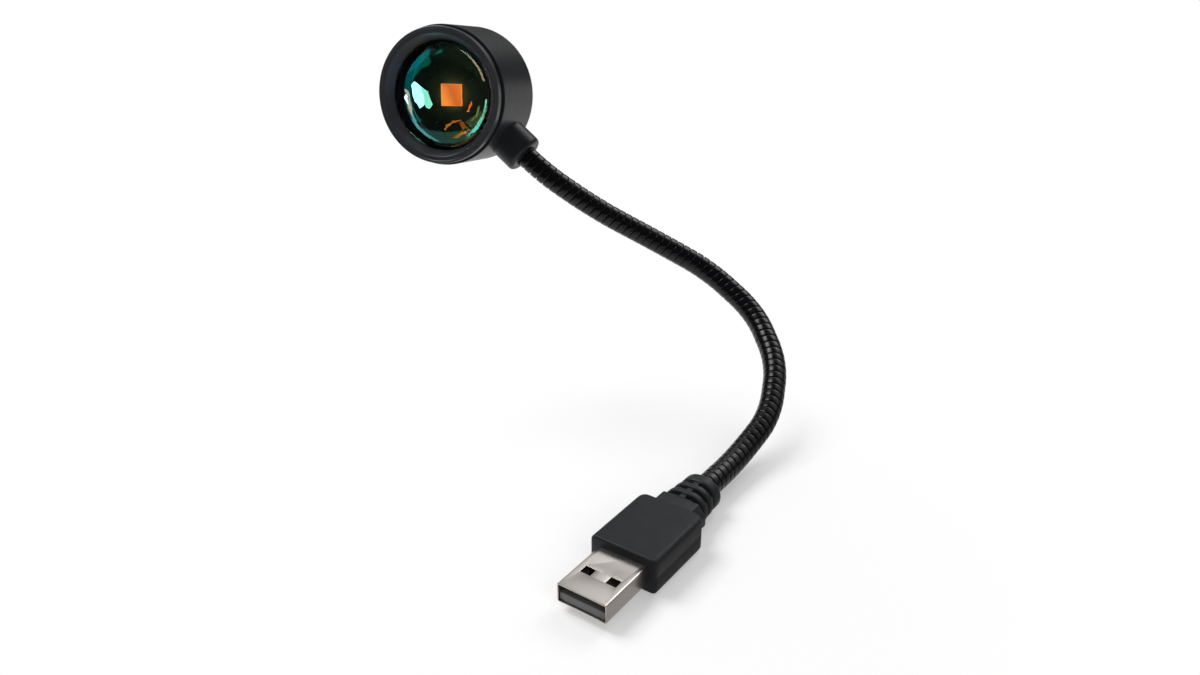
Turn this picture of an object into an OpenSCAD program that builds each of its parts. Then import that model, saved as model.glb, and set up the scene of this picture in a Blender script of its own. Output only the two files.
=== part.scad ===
// Sunset projection lamp on a flexible neck with a USB-A plug.
// The plug lies along Y with its wide face up, and goes into its port towards -Y.
// The origin is the middle of the plug housing's front face, where the metal shell leaves it.

/* [Plug shell] */
// Width of the metal shell
shell_w = 12; // [11.9:0.05:12.1]
// Height of the metal shell
shell_h = 4.5; // [4.4:0.05:4.6]
// Length of shell that stands out of the housing
shell_l = 14.4; // [13.5:0.1:18.75]
// Length of shell held inside the housing
shell_seat = 4.6; // [3.5:0.1:6]
// Sheet thickness of the shell
shell_wall = 0.3; // [0.25:0.05:0.4]
// Outside bend radius of the shell's long edges
shell_bend = 0.5; // [0.45:0.05:0.8]
// Width of a latch window
window_w = 2.5; // [2.3:0.1:2.7]
// Length of a latch window
window_l = 2.2; // [2:0.1:2.4]
// Distance from the shell's tip to a latch window
window_from_tip = 5.5; // [5:0.1:6]
// Distance between the middles of the two windows
window_gap = 6.2; // [6:0.1:6.6]

/* [Plug insulator and contacts] */
// Thickness of the insulator tongue
tongue_h = 1.9; // [1.8:0.05:2]
// Distance of the tongue's front behind the shell's tip
tongue_back = 0.4; // [0.3:0.1:0.8]
// Length of the full-height block behind the tongue
tongue_block = 6; // [5:0.5:8]
// Width of a contact strip
contact_w = 1.2; // [1:0.1:1.4]
// Thickness of a contact strip
contact_t = 0.3; // [0.2:0.05:0.4]
// Distance between the two power contacts
contact_gap = 7; // [6.8:0.1:7.2]
// Distance of a contact's front behind the shell's tip
contact_back = 1.6; // [1.4:0.1:2.2]
// Length of a solder tail behind the insulator
tail_l = 2.6; // [2:0.1:3.2]

/* [Plug housing] */
// Width of the housing
housing_w = 16.4; // [15.6:0.1:17]
// Height of the housing
housing_h = 8.5; // [8.2:0.1:8.8]
// Length of the housing
housing_l = 19.4; // [18:0.1:22]
// Radius along the housing's long edges
housing_edge = 1.3; // [1:0.1:1.8]
// Radius of the rear corners seen from above
housing_corner = 1.8; // [1.4:0.1:2.6]
// Small radius round the front and rear faces
housing_round = 0.6; // [0.4:0.1:0.8]
// Width of the inner mould
inner_w = 11; // [10.4:0.1:11.6]
// Height of the inner mould
inner_h = 4.6; // [4.2:0.1:4.8]
// Length of the inner mould
inner_l = 8; // [7:0.1:9]

/* [Strain relief] */
// Width of the block behind the housing
block_w = 12.8; // [12.4:0.1:13.4]
// Height of the block behind the housing
block_h = 7.4; // [6.8:0.1:7.6]
// Length of the block behind the housing
block_l = 3.8; // [3.2:0.1:4.2]
// Chamfer across the block's upper and lower corners, sideways
block_chamfer_w = 1.9; // [1.4:0.1:2.2]
// Chamfer across the block's upper and lower corners, up and down
block_chamfer_h = 2.6; // [2:0.1:3]
// Height of the rings
ring_h = 8.3; // [7.8:0.1:8.4]
// Width of the ring next to the block
first_ring_w = 10.8; // [10.4:0.1:11.4]
// How much narrower each following ring is
ring_step = 0.6; // [0.5:0.1:1]
// Thickness of a ring along the plug
ring_l = 1.7; // [1.3:0.05:1.8]
// Length of a slot along the plug
slot_l = 1.15; // [1:0.05:1.4]
// Number of slotted rings before the collar
ring_count = 2; // [1:1:3]
// Length of the collar that holds the neck
collar_l = 3.3; // [3:0.1:4.2]
// Radius round the collar's mouth
collar_round = 1; // [0.6:0.1:1.2]
// Width of the narrow webs above and below
web_w = 1.3; // [1:0.1:1.6]
// Height of the wide webs at the sides
side_web_h = 2.8; // [2.4:0.1:3.4]
// Length of the spigot that goes into the housing
spigot_l = 4; // [3:0.1:5]
// Width of the spigot
spigot_w = 9; // [8:0.1:10]
// Height of the spigot
spigot_h = 5; // [4.4:0.1:5.4]

/* [Neck] */
// Outer diameter of the wound neck
neck_d = 6; // [5.6:0.1:6.4]
// Length of one stretch of neck between two bending points
section_l = 17.5; // [16:0.1:20]
// Distance from the front of the housing to the first stretch
neck_start = 37.5; // [36.6:0.1:39]
// Length of neck held inside the strain relief
root_seat = 9; // [7:0.1:10]
// Length of neck held inside the head's socket
head_seat = 5.6; // [4.6:0.1:6]
// Pitch of the winding
wind_pitch = 2.06; // [2:0.01:2.2]
// Width of the wound band
band_w = 1.5; // [1.4:0.01:1.54]
// Thickness of the wound band
band_t = 0.9; // [0.8:0.05:1]
// Outer diameter of the inner tube
core_d = 3.7; // [3.4:0.05:3.8]
// Bore of the inner tube
core_bore = 2.5; // [2.4:0.05:2.7]
// Diameter of one insulated lead
lead_d = 1.05; // [0.9:0.05:1.15]
// Radius of the rounded end of a stretch, round its bending point
ball_r = 3.3; // [3.25:0.01:3.4]
// Clearance between a rounded end and the hollow end that faces it
joint_gap = 0.2; // [0.15:0.01:0.3]
// Straight length at the start of each stretch
section_lead = 3.6; // [3.55:0.05:4]

/* [Head] */
// Diameter of the head
head_d = 35.9; // [34:0.1:37]
// Length of the head from the bezel's front to the rear face
head_l = 21.4; // [20:0.1:23]
// Distance from the bezel's front back to the socket's axis
socket_back = 14.4; // [14:0.1:14.8]
// Turn of the head round the end of the neck, in degrees
head_turn = 128.2; // [90:0.1:160]
// Wall thickness of the head
head_wall = 1.8; // [1.6:0.1:2]
// Thickness of the head's rear wall
head_rear = 2.2; // [1.8:0.1:2.6]
// Radius round the rear edge
rear_round = 0.9; // [0.6:0.1:1.4]
// Outer diameter of the socket
socket_d = 10.9; // [10.4:0.1:11.4]
// Length of the socket outside the head
socket_l = 6.4; // [6:0.1:7.4]
// Radius round the socket's mouth
socket_round = 1.1; // [0.8:0.1:1.4]
// Outer diameter of the bush in the socket's mouth
bush_d = 7.8; // [7.4:0.1:8.2]
// Length of the bush
bush_l = 3; // [2.5:0.1:3.5]

/* [Bezel and lens] */
// Diameter of the bezel's flange
bezel_d = 34.8; // [34:0.1:35]
// Thickness of the bezel's flange
bezel_flange = 1.9; // [1.6:0.1:2]
// Width of the groove between the bezel and the head
bezel_groove = 0.8; // [0.6:0.1:1]
// Depth of that groove
groove_deep = 0.9; // [0.6:0.1:1]
// Width of the flat lip round the front
lip_w = 1.8; // [1.5:0.1:2]
// Diameter of glass that shows
aperture_d = 28; // [27.4:0.1:28.2]
// Length of the bezel's spigot inside the head
bezel_spigot = 5.4; // [4.6:0.1:5.8]
// Diameter of the lens
lens_d = 29.2; // [28.8:0.1:29.4]
// Thickness of the lens at its edge
lens_edge = 3; // [2.6:0.1:3.2]
// Radius of the lens's front face
lens_curve = 26; // [25:0.5:30]
// Depth of the edge of the visible glass behind the bezel's front
lens_back = 3.1; // [3:0.1:3.4]

/* [Inside the head] */
// Wall thickness of the tube behind the lens
tube_wall = 1.2; // [1:0.1:1.4]
// Diameter of the heat sink's foot
sink_foot_d = 25; // [24:0.1:26]
// Thickness of the heat sink's foot
sink_foot = 1.8; // [1.4:0.1:2.2]
// Diameter of the heat sink's post
sink_post_d = 15; // [14.8:0.1:17]
// Diameter of the light-source board
board_d = 20; // [19:0.1:21]
// Thickness of the board
board_t = 1.6; // [1.4:0.1:1.8]
// Side of the square light source
led_w = 4.6; // [4.2:0.1:5]
// Turn of the light source round the head's axis, in degrees
led_turn = 49.5; // [0:0.5:90]
// Height of the light source
led_h = 1.5; // [1.3:0.1:1.7]
// Distance from the light source to the back of the lens
led_back = 1.5; // [1.3:0.1:2.8]
// Distance between the two board screws
screw_gap = 12; // [11.6:0.1:12.4]
// Thread diameter of a board screw
screw_d = 1.6; // [1.4:0.1:1.8]
// Length of a board screw under its head
screw_l = 4.6; // [4:0.1:5]

/* [Hidden] */
$fn = 48;

// Colours
nickel = [0.72, 0.69, 0.66];
charcoal = [0.16, 0.16, 0.17];
soft_black = [0.11, 0.11, 0.12];
gloss_black = [0.04, 0.04, 0.045];
grey_plastic = [0.36, 0.36, 0.37];
gold = [0.85, 0.6, 0.25];
white_plastic = [0.86, 0.86, 0.84];
board_black = [0.05, 0.055, 0.05];
bare_metal = [0.66, 0.67, 0.68];
glass_green = [0.1, 0.32, 0.26];
glow_orange = [1, 0.45, 0.12];
lead_red = [0.6, 0.06, 0.05];

// Shared clearances
fit = 0.05;
eps = 0.01;

// The bend of each stretch of neck in degrees, and the side that it bends to, from plug to head
bends = [15, 24, 25, 34, 28, 5, 6, 19.4];
planes = [83, 158, 162, 145, 137, 120, 3, -38.6];
last = len(bends) - 1;

// Neck frames: [place, first side, second side, direction]
start_frame = [[0, neck_start, 0], [1, 0, 0], [0, 0, 1], [0, 1, 0]];
function turned(v, n, a) = v * cos(a) + cross(n, v) * sin(a) + n * (n * v) * (1 - cos(a));
function bend_r(k) = (section_l - section_lead) * 180 / (PI * bends[k]);
function next_frame(f, k) =
    let(d = cos(planes[k]) * f[1] + sin(planes[k]) * f[2])
    let(n = cross(f[3], d))
    let(r = bend_r(k))
    let(p = f[0] + f[3] * (section_lead + r * sin(bends[k])) + d * r * (1 - cos(bends[k])))
    [p, turned(f[1], n, bends[k]), turned(f[2], n, bends[k]), turned(f[3], n, bends[k])];
function frame_at(k) = k == 0 ? start_frame : next_frame(frame_at(k - 1), k - 1);

// A point of stretch k in its own frame: at length u along it, and v = [x, y] from its middle line
function on_neck(k, u, v) =
    let(c = cos(planes[k]), s = sin(planes[k]))
    let(p = v[0] * c + v[1] * s, q = v[1] * c - v[0] * s)
    let(turn = min(max(u - section_lead, 0) / bend_r(k) * 180 / PI, bends[k]))
    let(past = max(u - section_l, 0))
    let(out = bend_r(k) * (1 - cos(turn)) + past * sin(turn) + p * cos(turn))
    let(up = min(u, section_lead) + bend_r(k) * sin(turn) + past * cos(turn) - p * sin(turn))
    [out * c - q * s, out * s + q * c, up];

// Points round a circle, as factors of its radius
function unit(j, sides) = [cos(360 * j / sides), sin(360 * j / sides)];
function neck_circle(k, u, r, middle, sides) =
    [for (j = [0:sides - 1]) on_neck(k, u, middle + r * unit(j, sides))];
function neck_stations(from, to) = concat(
    [from],
    [for (i = [0:arc_steps]) section_lead + i * (section_l - section_lead) / arc_steps],
    [to]
);

// Winding
neck_r = neck_d / 2;
ring_sides = 8;
arc_steps = 5;
core_sides = 16;
lead_sides = 8;
band_end = 0.25;
band_shoulder = 0.28;
band_squeeze = 0.02;
chord = cos(180 / ring_sides);
socket_r = ball_r + joint_gap;
// The band's outline: [distance from the neck's middle line, place along the neck]
band_profile = [
    [neck_r - band_t, -band_w / 2], [neck_r - band_t, band_w / 2],
    [neck_r - band_t * band_shoulder, band_w / 2], [neck_r, band_w * band_shoulder],
    [neck_r, -band_w * band_shoulder], [neck_r - band_t * band_shoulder, -band_w / 2]
];
// The winding's ends are ground to the rounded or hollow end of the stretch
function wind_low(k, r) = k == 0 ? -root_seat : sqrt(pow(socket_r, 2) - pow(r * chord, 2));
function wind_high(k, r) =
    section_l + (k == last ? head_seat : sqrt(pow(ball_r, 2) - pow(r, 2)));
function wind_first(k) = wind_low(k, neck_r - band_t) - band_w / 2 + band_end;
function wind_last(k) = wind_high(k, neck_r) + band_w / 2 - band_end;
function wind_rings(k) = floor((wind_last(k) - wind_first(k)) / wind_pitch * ring_sides);
function wind_angle(k, u) = 360 * (k * section_l + u) / wind_pitch;
function wind_ring(k, i) =
    let(u = wind_first(k) + i * wind_pitch / ring_sides)
    [for (p = band_profile)
        let(low = wind_low(k, p[0]), high = wind_high(k, p[0]))
        let(floor_u = low + band_squeeze * (p[1] + band_w), roof_u = high - band_squeeze * (band_w - p[1]))
        let(place = min(max(u + p[1], floor_u), roof_u))
        on_neck(k, place, p[0] * [cos(wind_angle(k, u)), sin(wind_angle(k, u))])];

// Least distance between one turn and the next, over all stretches
function turn_gap(k) =
    min([for (i = [0:wind_rings(k) - ring_sides])
        let(a = wind_ring(k, i), b = wind_ring(k, i + ring_sides))
        min([for (p = a, q = b) norm(p - q)])]);
least_gap = min([for (k = [0:last]) turn_gap(k)]);

// Plug places, measured along Y
insulator_w = shell_w - 2 * shell_wall - 2 * fit;
insulator_h = shell_h - 2 * shell_wall - 2 * fit;
tongue_top = -insulator_h / 2 + tongue_h;
inner_y = shell_seat + fit;
relief_y = housing_l;
rings_y = relief_y + block_l;
row_l = slot_l + ring_l;
collar_y = rings_y + ring_count * row_l + slot_l;
collar_w = first_ring_w - ring_count * ring_step;
relief_end = collar_y + collar_l;
neck_bore_r = neck_r + fit;
neck_end_y = neck_start - root_seat;
lead_path_r = lead_d / 2 + fit / 2;
tail_end = shell_seat + tail_l + fit;
lead_z = tongue_top - contact_t / 2;
lead_gate = [contact_gap + 2, lead_d + 0.8];
lead_run = 1.5;
pad_step = 0.6;
pad_reach = 2;
screw_head_h = 0.9;
screw_head_r = screw_d * 0.9;
screw_slot = 0.4;
resistor = [1.6, 3.2, 0.6];
resistor_edge = 2;
relief_inset = 0.35;
rim_cut = 0.3;
lip_cut = 0.25;
lens_seat = 0.5;
bush_back = 0.3;

// Head places, in the head's frame: Z to the front, X along the socket
head_r = head_d / 2;
front_z = socket_back;
rear_z = front_z - head_l;
body_front_z = front_z - bezel_flange - bezel_groove;
floor_z = rear_z + head_rear;
bore_r = head_r - head_wall;
bezel_r = bezel_d / 2;
aperture_r = aperture_d / 2;
lens_r = lens_d / 2;
function dome(r) = lens_curve - sqrt(pow(lens_curve, 2) - pow(r, 2));
glass_edge_z = front_z - lens_back;
lens_top_z = glass_edge_z + dome(aperture_r);
lens_rim_z = lens_top_z - dome(lens_r);
lens_rear_z = lens_rim_z - lens_edge;
led_top_z = lens_rear_z - led_back;
board_z = led_top_z - led_h - board_t;
tube_r = lens_r - 0.1;
socket_end = head_r + socket_l;
socket_step = 1.4;
socket_spigot_r = socket_d / 2 - socket_step;
lead_gate_h = 5;
lead_gate_w = 6;

assert(least_gap > 0.4, "the winding's turns are too close");
echo(least_gap = least_gap, turns = [for (k = [0:last]) wind_rings(k) / ring_sides]);

// ---------- helpers ----------

module at_frame(f) {
    multmatrix([
        [f[1][0], f[2][0], f[3][0], f[0][0]],
        [f[1][1], f[2][1], f[3][1], f[0][1]],
        [f[1][2], f[2][2], f[3][2], f[0][2]],
        [0, 0, 0, 1]
    ])
        children();
}

module at_head() {
    at_frame(frame_at(last + 1))
        rotate([0, 0, head_turn])
            translate([0, 0, socket_end])
                rotate([0, 90, 0])
                    children();
}

// A flat outline with round corners
module round_rect(w, h, r) {
    square([w - 2 * r, h], center = true);
    square([w, h - 2 * r], center = true);
    for (x = [-1, 1], y = [-1, 1])
        translate([x * (w / 2 - r), y * (h / 2 - r)])
            circle(r);
}

// Lays a flat outline square to the plug's axis and runs it from y = from for a length
module along_plug(from, length) {
    translate([0, from, 0])
        rotate([-90, 0, 0])
            linear_extrude(length)
                children();
}

// A disc with round ends and a rounded rim, lying square to the plug's axis
module oval_disc(from, w, h, length, rim) {
    side = (w - h) / 2;
    translate([0, from, 0])
        rotate([-90, 0, 0]) {
            for (end = [-1, 1])
                translate([end * side, 0, 0])
                    rotate([0, 0, -90 * end])
                        rotate_extrude(angle = 180)
                            rim_profile(h / 2, length, rim);
            translate([-side, 0, 0])
                rotate([90, 0, 90])
                    linear_extrude(2 * side) {
                        rim_profile(h / 2, length, rim);
                        mirror([1, 0])
                            rim_profile(h / 2, length, rim);
                    }
        }
}

// A solid over a list of rings, closed by its two ends, or looped when it is a tube with a bore
module skin(rings, looped = false) {
    n = len(rings[0]);
    m = len(rings);
    end = (m - 1) * n * [1, 1, 1];
    ends = looped ? [] : [for (j = [1:n - 2]) each [[0, j, j + 1], [0, j + 1, j] + end]];
    polyhedron(
        points = [for (r = rings) each r],
        faces = concat(ends, [
            for (i = [0:looped ? m - 1 : m - 2], j = [0:n - 1])
                let(a = i * n + j, b = i * n + (j + 1) % n)
                let(c = (i + 1) % m * n + j, d = (i + 1) % m * n + (j + 1) % n)
                each [[a, c, b], [c, d, b]]
        ])
    );
}

module rim_profile(r, length, rim) {
    square([r - rim, length]);
    translate([0, rim])
        square([r, length - 2 * rim]);
    for (y = [rim, length - rim])
        translate([r - rim, y])
            circle(rim);
}

// ---------- plug ----------

module shell_outline(grow) {
    round_rect(shell_w + 2 * grow, shell_h + 2 * grow, shell_bend + grow);
}

module usb_shell() {
    color(nickel)
        difference() {
            along_plug(-shell_l, shell_l + shell_seat)
                shell_outline(0);
            along_plug(-shell_l - eps, shell_l + shell_seat + 2 * eps)
                shell_outline(-shell_wall);
            for (x = [-1, 1])
                translate([x * window_gap / 2 - window_w / 2, window_from_tip - shell_l, -shell_h])
                    cube([window_w, window_l, 2 * shell_h]);
        }
}

module usb_insulator() {
    color(grey_plastic)
        difference() {
            union() {
                translate([-insulator_w / 2, tongue_back - shell_l, -insulator_h / 2])
                    cube([insulator_w, shell_l - tongue_back + shell_seat, tongue_h]);
                translate([-insulator_w / 2, shell_seat - tongue_block, -insulator_h / 2])
                    cube([insulator_w, tongue_block, insulator_h]);
            }
            for (x = [-1, 1])
                contact_strip(x, fit);
        }
}

// One strip: the flat contact in the tongue and its tail behind the insulator
module contact_strip(side, gap) {
    y = contact_back - shell_l - gap;
    translate([side * contact_gap / 2 - contact_w / 2 - gap, y, tongue_top - contact_t - gap])
        cube([contact_w + 2 * gap, shell_seat + tail_l - y, contact_t + 2 * gap]);
}

module usb_contacts() {
    color(gold)
        for (x = [-1, 1])
            contact_strip(x, 0);
}

// A ring of points square to the plug, for a lead that runs back through it
function lead_ring_y(p) =
    [for (j = [0:lead_sides - 1])
        p + lead_d / 2 * [unit(j, lead_sides)[1], 0, unit(j, lead_sides)[0]]];

module plug_leads() {
    color(lead_red)
        for (x = [-1, 1])
            skin([
                lead_ring_y([x * contact_gap / 2, tail_end, lead_z]),
                lead_ring_y([x * contact_gap / 2, tail_end + lead_run, lead_z]),
                lead_ring_y([x * lead_path_r, relief_y - spigot_l, 0]),
                lead_ring_y([x * lead_path_r, neck_end_y, 0])
            ]);
}

// The flat tunnel that the tails and leads run through
module lead_tunnel(from, to) {
    along_plug(from, to - from)
        square(lead_gate, center = true);
}

module inner_mould() {
    color(white_plastic)
        difference() {
            along_plug(inner_y, inner_l)
                square([inner_w, inner_h], center = true);
            lead_tunnel(inner_y - eps, inner_y + inner_l + eps);
        }
}

module plug_housing() {
    color(charcoal)
        difference() {
            intersection() {
                along_plug(0, housing_l)
                    round_rect(housing_w, housing_h, housing_edge);
                translate([0, housing_l / 2, -housing_h])
                    linear_extrude(2 * housing_h)
                        housing_plan();
                translate([-housing_w, housing_l / 2, 0])
                    rotate([90, 0, 90])
                        linear_extrude(2 * housing_w)
                            round_rect(housing_l, housing_h, housing_round);
            }
            along_plug(-eps, inner_y + eps)
                shell_outline(fit);
            along_plug(inner_y - eps, inner_l + fit + eps)
                square([inner_w + 2 * fit, inner_h + 2 * fit], center = true);
            along_plug(relief_y - spigot_l - fit, spigot_l + 1)
                square([spigot_w + 2 * fit, spigot_h + 2 * fit], center = true);
            lead_tunnel(inner_y, housing_l);
        }
}

// The housing seen from above: wide round corners at the back, small ones in front
module housing_plan() {
    half = housing_l / 2;
    side = housing_w / 2;
    translate([0, -housing_corner / 2])
        square([housing_w, housing_l - housing_corner - 2 * housing_round], center = true);
    square([housing_w - 2 * housing_corner, housing_l], center = true);
    translate([0, housing_round - half])
        square([housing_w - 2 * housing_round, 2 * housing_round], center = true);
    for (x = [-1, 1]) {
        translate([x * (side - housing_corner), half - housing_corner])
            circle(housing_corner);
        translate([x * (side - housing_round), housing_round - half])
            circle(housing_round);
        translate([x * (side - housing_corner / 2), half - 3 * housing_corner / 2])
            square(housing_corner, center = true);
    }
}

module strain_relief() {
    color(soft_black)
        difference() {
            union() {
                relief_block();
                along_plug(relief_y - spigot_l, spigot_l + eps)
                    square([spigot_w, spigot_h], center = true);
                for (i = [0:ring_count])
                    relief_webs(i);
                for (i = [1:ring_count])
                    oval_disc(rings_y + i * row_l - ring_l, first_ring_w - (i - 1) * ring_step,
                        ring_h, ring_l, ring_l * 0.45);
                oval_disc(collar_y, collar_w, ring_h, collar_l, collar_round);
            }
            along_plug(neck_end_y, relief_end)
                circle(neck_bore_r);
            along_plug(relief_y - spigot_l - eps, neck_end_y - relief_y + spigot_l + 2 * eps)
                square([2 * lead_path_r + lead_d + 1, lead_d + 1], center = true);
        }
}

module relief_block() {
    w = block_w / 2;
    h = block_h / 2;
    along_plug(relief_y, block_l)
        polygon([
            [-w, h - block_chamfer_h], [block_chamfer_w - w, h],
            [w - block_chamfer_w, h], [w, h - block_chamfer_h],
            [w, block_chamfer_h - h], [w - block_chamfer_w, -h],
            [block_chamfer_w - w, -h], [-w, block_chamfer_h - h]
        ]);
}

// The webs across one row of slots, a little lower than the ring behind them
module relief_webs(row) {
    w = first_ring_w - row * ring_step - 2 * relief_inset;
    h = ring_h - 2 * relief_inset;
    from = rings_y + row * row_l - eps;
    intersection() {
        oval_disc(from, w, h, slot_l + ring_l / 2, eps);
        union() {
            translate([-web_w / 2, 0, -ring_h])
                cube([web_w, relief_end, 2 * ring_h]);
            translate([-first_ring_w, 0, -side_web_h / 2])
                cube([2 * first_ring_w, relief_end, side_web_h]);
        }
    }
}

// ---------- neck ----------

// The inner tube of one stretch. Its ends clear the next stretch all the way round
module neck_core(k) {
    from = k == 0 ? -root_seat : socket_r;
    to = section_l + (k == last ? head_seat : sqrt(pow(ball_r, 2) - pow(core_d / 2, 2)));
    places = neck_stations(from, to);
    back = [for (i = [len(places) - 1:-1:0]) places[i]];
    color(gloss_black)
        at_frame(frame_at(k))
            skin(concat(
                [for (u = places) neck_circle(k, u, core_d / 2, [0, 0], core_sides)],
                [for (u = back) neck_circle(k, u, core_bore / 2, [0, 0], core_sides)]
            ), looped = true);
}

// The wound band of one stretch, one unbroken tube from end to end
module neck_coil(k) {
    color(gloss_black)
        at_frame(frame_at(k))
            skin([for (i = [0:wind_rings(k)]) wind_ring(k, i)]);
}

// The two leads of one stretch, side by side in the inner tube
module neck_leads(k) {
    from = k == 0 ? -root_seat : socket_r;
    to = section_l + (k == last ? head_seat : sqrt(pow(ball_r, 2) - pow(core_d / 2, 2)));
    color(lead_red)
        at_frame(frame_at(k))
            for (side = [-1, 1])
                skin([for (u = neck_stations(from, to))
                    neck_circle(k, u, lead_d / 2, [side * lead_path_r, 0], lead_sides)]);
}

// ---------- head ----------

module head_body() {
    color(charcoal)
        at_head()
            difference() {
                rotate_extrude($fn = 96)
                    polygon(concat(
                        [[0, rear_z]],
                        [for (a = [0:15:90])
                            [head_r - rear_round + rear_round * sin(a), rear_z + rear_round * (1 - cos(a))]],
                        [[head_r, body_front_z - rim_cut], [head_r - rim_cut, body_front_z],
                         [bore_r, body_front_z], [bore_r, floor_z], [0, floor_z]]
                    ));
                rotate([0, 90, 0])
                    cylinder(h = 2 * head_r, r = socket_spigot_r + fit);
            }
}

module neck_socket() {
    color(charcoal)
        at_head()
            rotate([0, 90, 0])
                difference() {
                    union() {
                        translate([0, 0, bore_r])
                            cylinder(h = socket_l, r = socket_spigot_r);
                        difference() {
                            translate([0, 0, head_r - 2])
                                rotate_extrude()
                                    rim_profile(socket_d / 2, socket_l + 2, socket_round);
                            rotate([0, -90, 0])
                                cylinder(h = 3 * socket_d, r = head_r + fit, center = true, $fn = 96);
                        }
                    }
                    translate([0, 0, socket_end - head_seat])
                        cylinder(h = head_seat + eps, r = neck_bore_r);
                    translate([0, 0, socket_end - bush_l - fit])
                        cylinder(h = bush_l + 1, r = bush_d / 2 + fit);
                    translate([0, 0, bore_r - eps])
                        cylinder(h = head_r, r = lead_path_r + lead_d / 2 + 0.2);
                }
}

module neck_bush() {
    color(soft_black)
        at_head()
            rotate([0, 90, 0])
                translate([0, 0, socket_end - bush_l])
                    difference() {
                        cylinder(h = bush_l - bush_back, r = bush_d / 2);
                        translate([0, 0, -eps])
                            cylinder(h = bush_l, r = neck_bore_r);
                    }
}

module bezel_ring() {
    spigot_r = bore_r - fit;
    groove_z = front_z - bezel_flange;
    rear = body_front_z - bezel_spigot;
    color(charcoal)
        at_head()
            rotate_extrude($fn = 96)
                polygon([
                    [bezel_r - lip_cut, front_z], [bezel_r - lip_w, front_z],
                    [aperture_r, glass_edge_z + lens_seat], [aperture_r, glass_edge_z + fit],
                    [lens_r + fit, glass_edge_z + fit], [lens_r + fit, rear],
                    [spigot_r, rear], [spigot_r, body_front_z],
                    [bezel_r - groove_deep, body_front_z + fit], [bezel_r - groove_deep, groove_z],
                    [bezel_r, groove_z], [bezel_r, front_z - lip_cut]
                ]);
}

module lens() {
    color(glass_green, 0.6)
        at_head()
            intersection() {
                translate([0, 0, lens_rear_z])
                    cylinder(h = lens_curve, r = lens_r, $fn = 96);
                translate([0, 0, lens_top_z - lens_curve])
                    sphere(lens_curve, $fn = 96);
            }
}

module spacer_tube() {
    length = lens_rear_z - floor_z - 2 * fit;
    color(soft_black)
        at_head()
            difference() {
                translate([0, 0, floor_z + fit])
                    difference() {
                        cylinder(h = length, r = tube_r);
                        translate([0, 0, -eps])
                            cylinder(h = length + 1, r = tube_r - tube_wall);
                    }
                translate([tube_r - 2 * tube_wall, -lead_gate_w / 2, floor_z - 1])
                    cube([2 * tube_wall + 1, lead_gate_w, lead_gate_h - floor_z]);
            }
}

module heat_sink() {
    color(bare_metal)
        at_head()
            difference() {
                union() {
                    translate([0, 0, floor_z])
                        cylinder(h = sink_foot, r = sink_foot_d / 2);
                    translate([0, 0, floor_z])
                        cylinder(h = board_z - floor_z, r = sink_post_d / 2);
                }
                for (y = [-1, 1])
                    translate([0, y * screw_gap / 2, board_z - screw_l])
                        cylinder(h = screw_l + 1, r = screw_d / 2 + fit);
            }
}

module led_board() {
    color(board_black)
        at_head()
            difference() {
                translate([0, 0, board_z])
                    cylinder(h = board_t, r = board_d / 2);
                for (y = [-1, 1])
                    translate([0, y * screw_gap / 2, board_z - eps])
                        cylinder(h = board_t + 1, r = screw_d / 2 + fit);
            }
}

module led_emitter() {
    color(glow_orange)
        at_head()
            rotate([0, 0, led_turn])
                translate([-led_w / 2, -led_w / 2, board_z + board_t])
                    cube([led_w, led_w, led_h]);
}

module led_resistor() {
    color(gloss_black)
        at_head()
            translate([-board_d / 2 + resistor_edge, -resistor[1] / 2, board_z + board_t])
                cube(resistor);
}

module board_screws() {
    color(gloss_black)
        at_head()
            for (y = [-1, 1])
                translate([0, y * screw_gap / 2, board_z + board_t]) {
                    translate([0, 0, -screw_l + fit])
                        cylinder(h = screw_l, r = screw_d / 2);
                    difference() {
                        cylinder(h = screw_head_h, r = screw_head_r);
                        translate([0, 0, screw_head_h])
                            cube([screw_slot, 3 * screw_d, screw_head_h], center = true);
                    }
                }
}

// A ring of points square to the socket, for a lead that runs on into the head
function lead_ring_x(p) =
    [for (j = [0:lead_sides - 1])
        p + lead_d / 2 * [0, unit(j, lead_sides)[1], unit(j, lead_sides)[0]]];

// The leads from the end of the neck to the pads on the board
module head_leads() {
    top = board_z + board_t + lead_d / 2 + fit;
    edge = board_d / 2;
    color(lead_red)
        at_head()
            for (side = [-1, 1])
                skin([
                    lead_ring_x([socket_end - head_seat - fit, side * lead_path_r, 0]),
                    lead_ring_x([bore_r - 1, side * lead_path_r, 0]),
                    lead_ring_x([edge + 1, side * (lead_path_r + pad_step), top]),
                    lead_ring_x([edge - pad_reach, side * (lead_path_r + pad_step), top])
                ]);
}

usb_shell();
usb_insulator();
usb_contacts();
inner_mould();
plug_housing();
strain_relief();
plug_leads();
for (k = [0:last]) {
    neck_core(k);
    neck_coil(k);
    neck_leads(k);
}
neck_socket();
neck_bush();
head_body();
bezel_ring();
lens();
spacer_tube();
heat_sink();
led_board();
led_emitter();
led_resistor();
board_screws();
head_leads();
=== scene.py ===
# %% [markdown]
# # Sunset projection lamp
# The lamp is a small round head with a domed, coated lens, on a neck of wound metal band that
# stands out of a plug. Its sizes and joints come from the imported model. This script gives that
# model its looks: finer shapes where light catches an edge, and a finish for every surface.

import math

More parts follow.
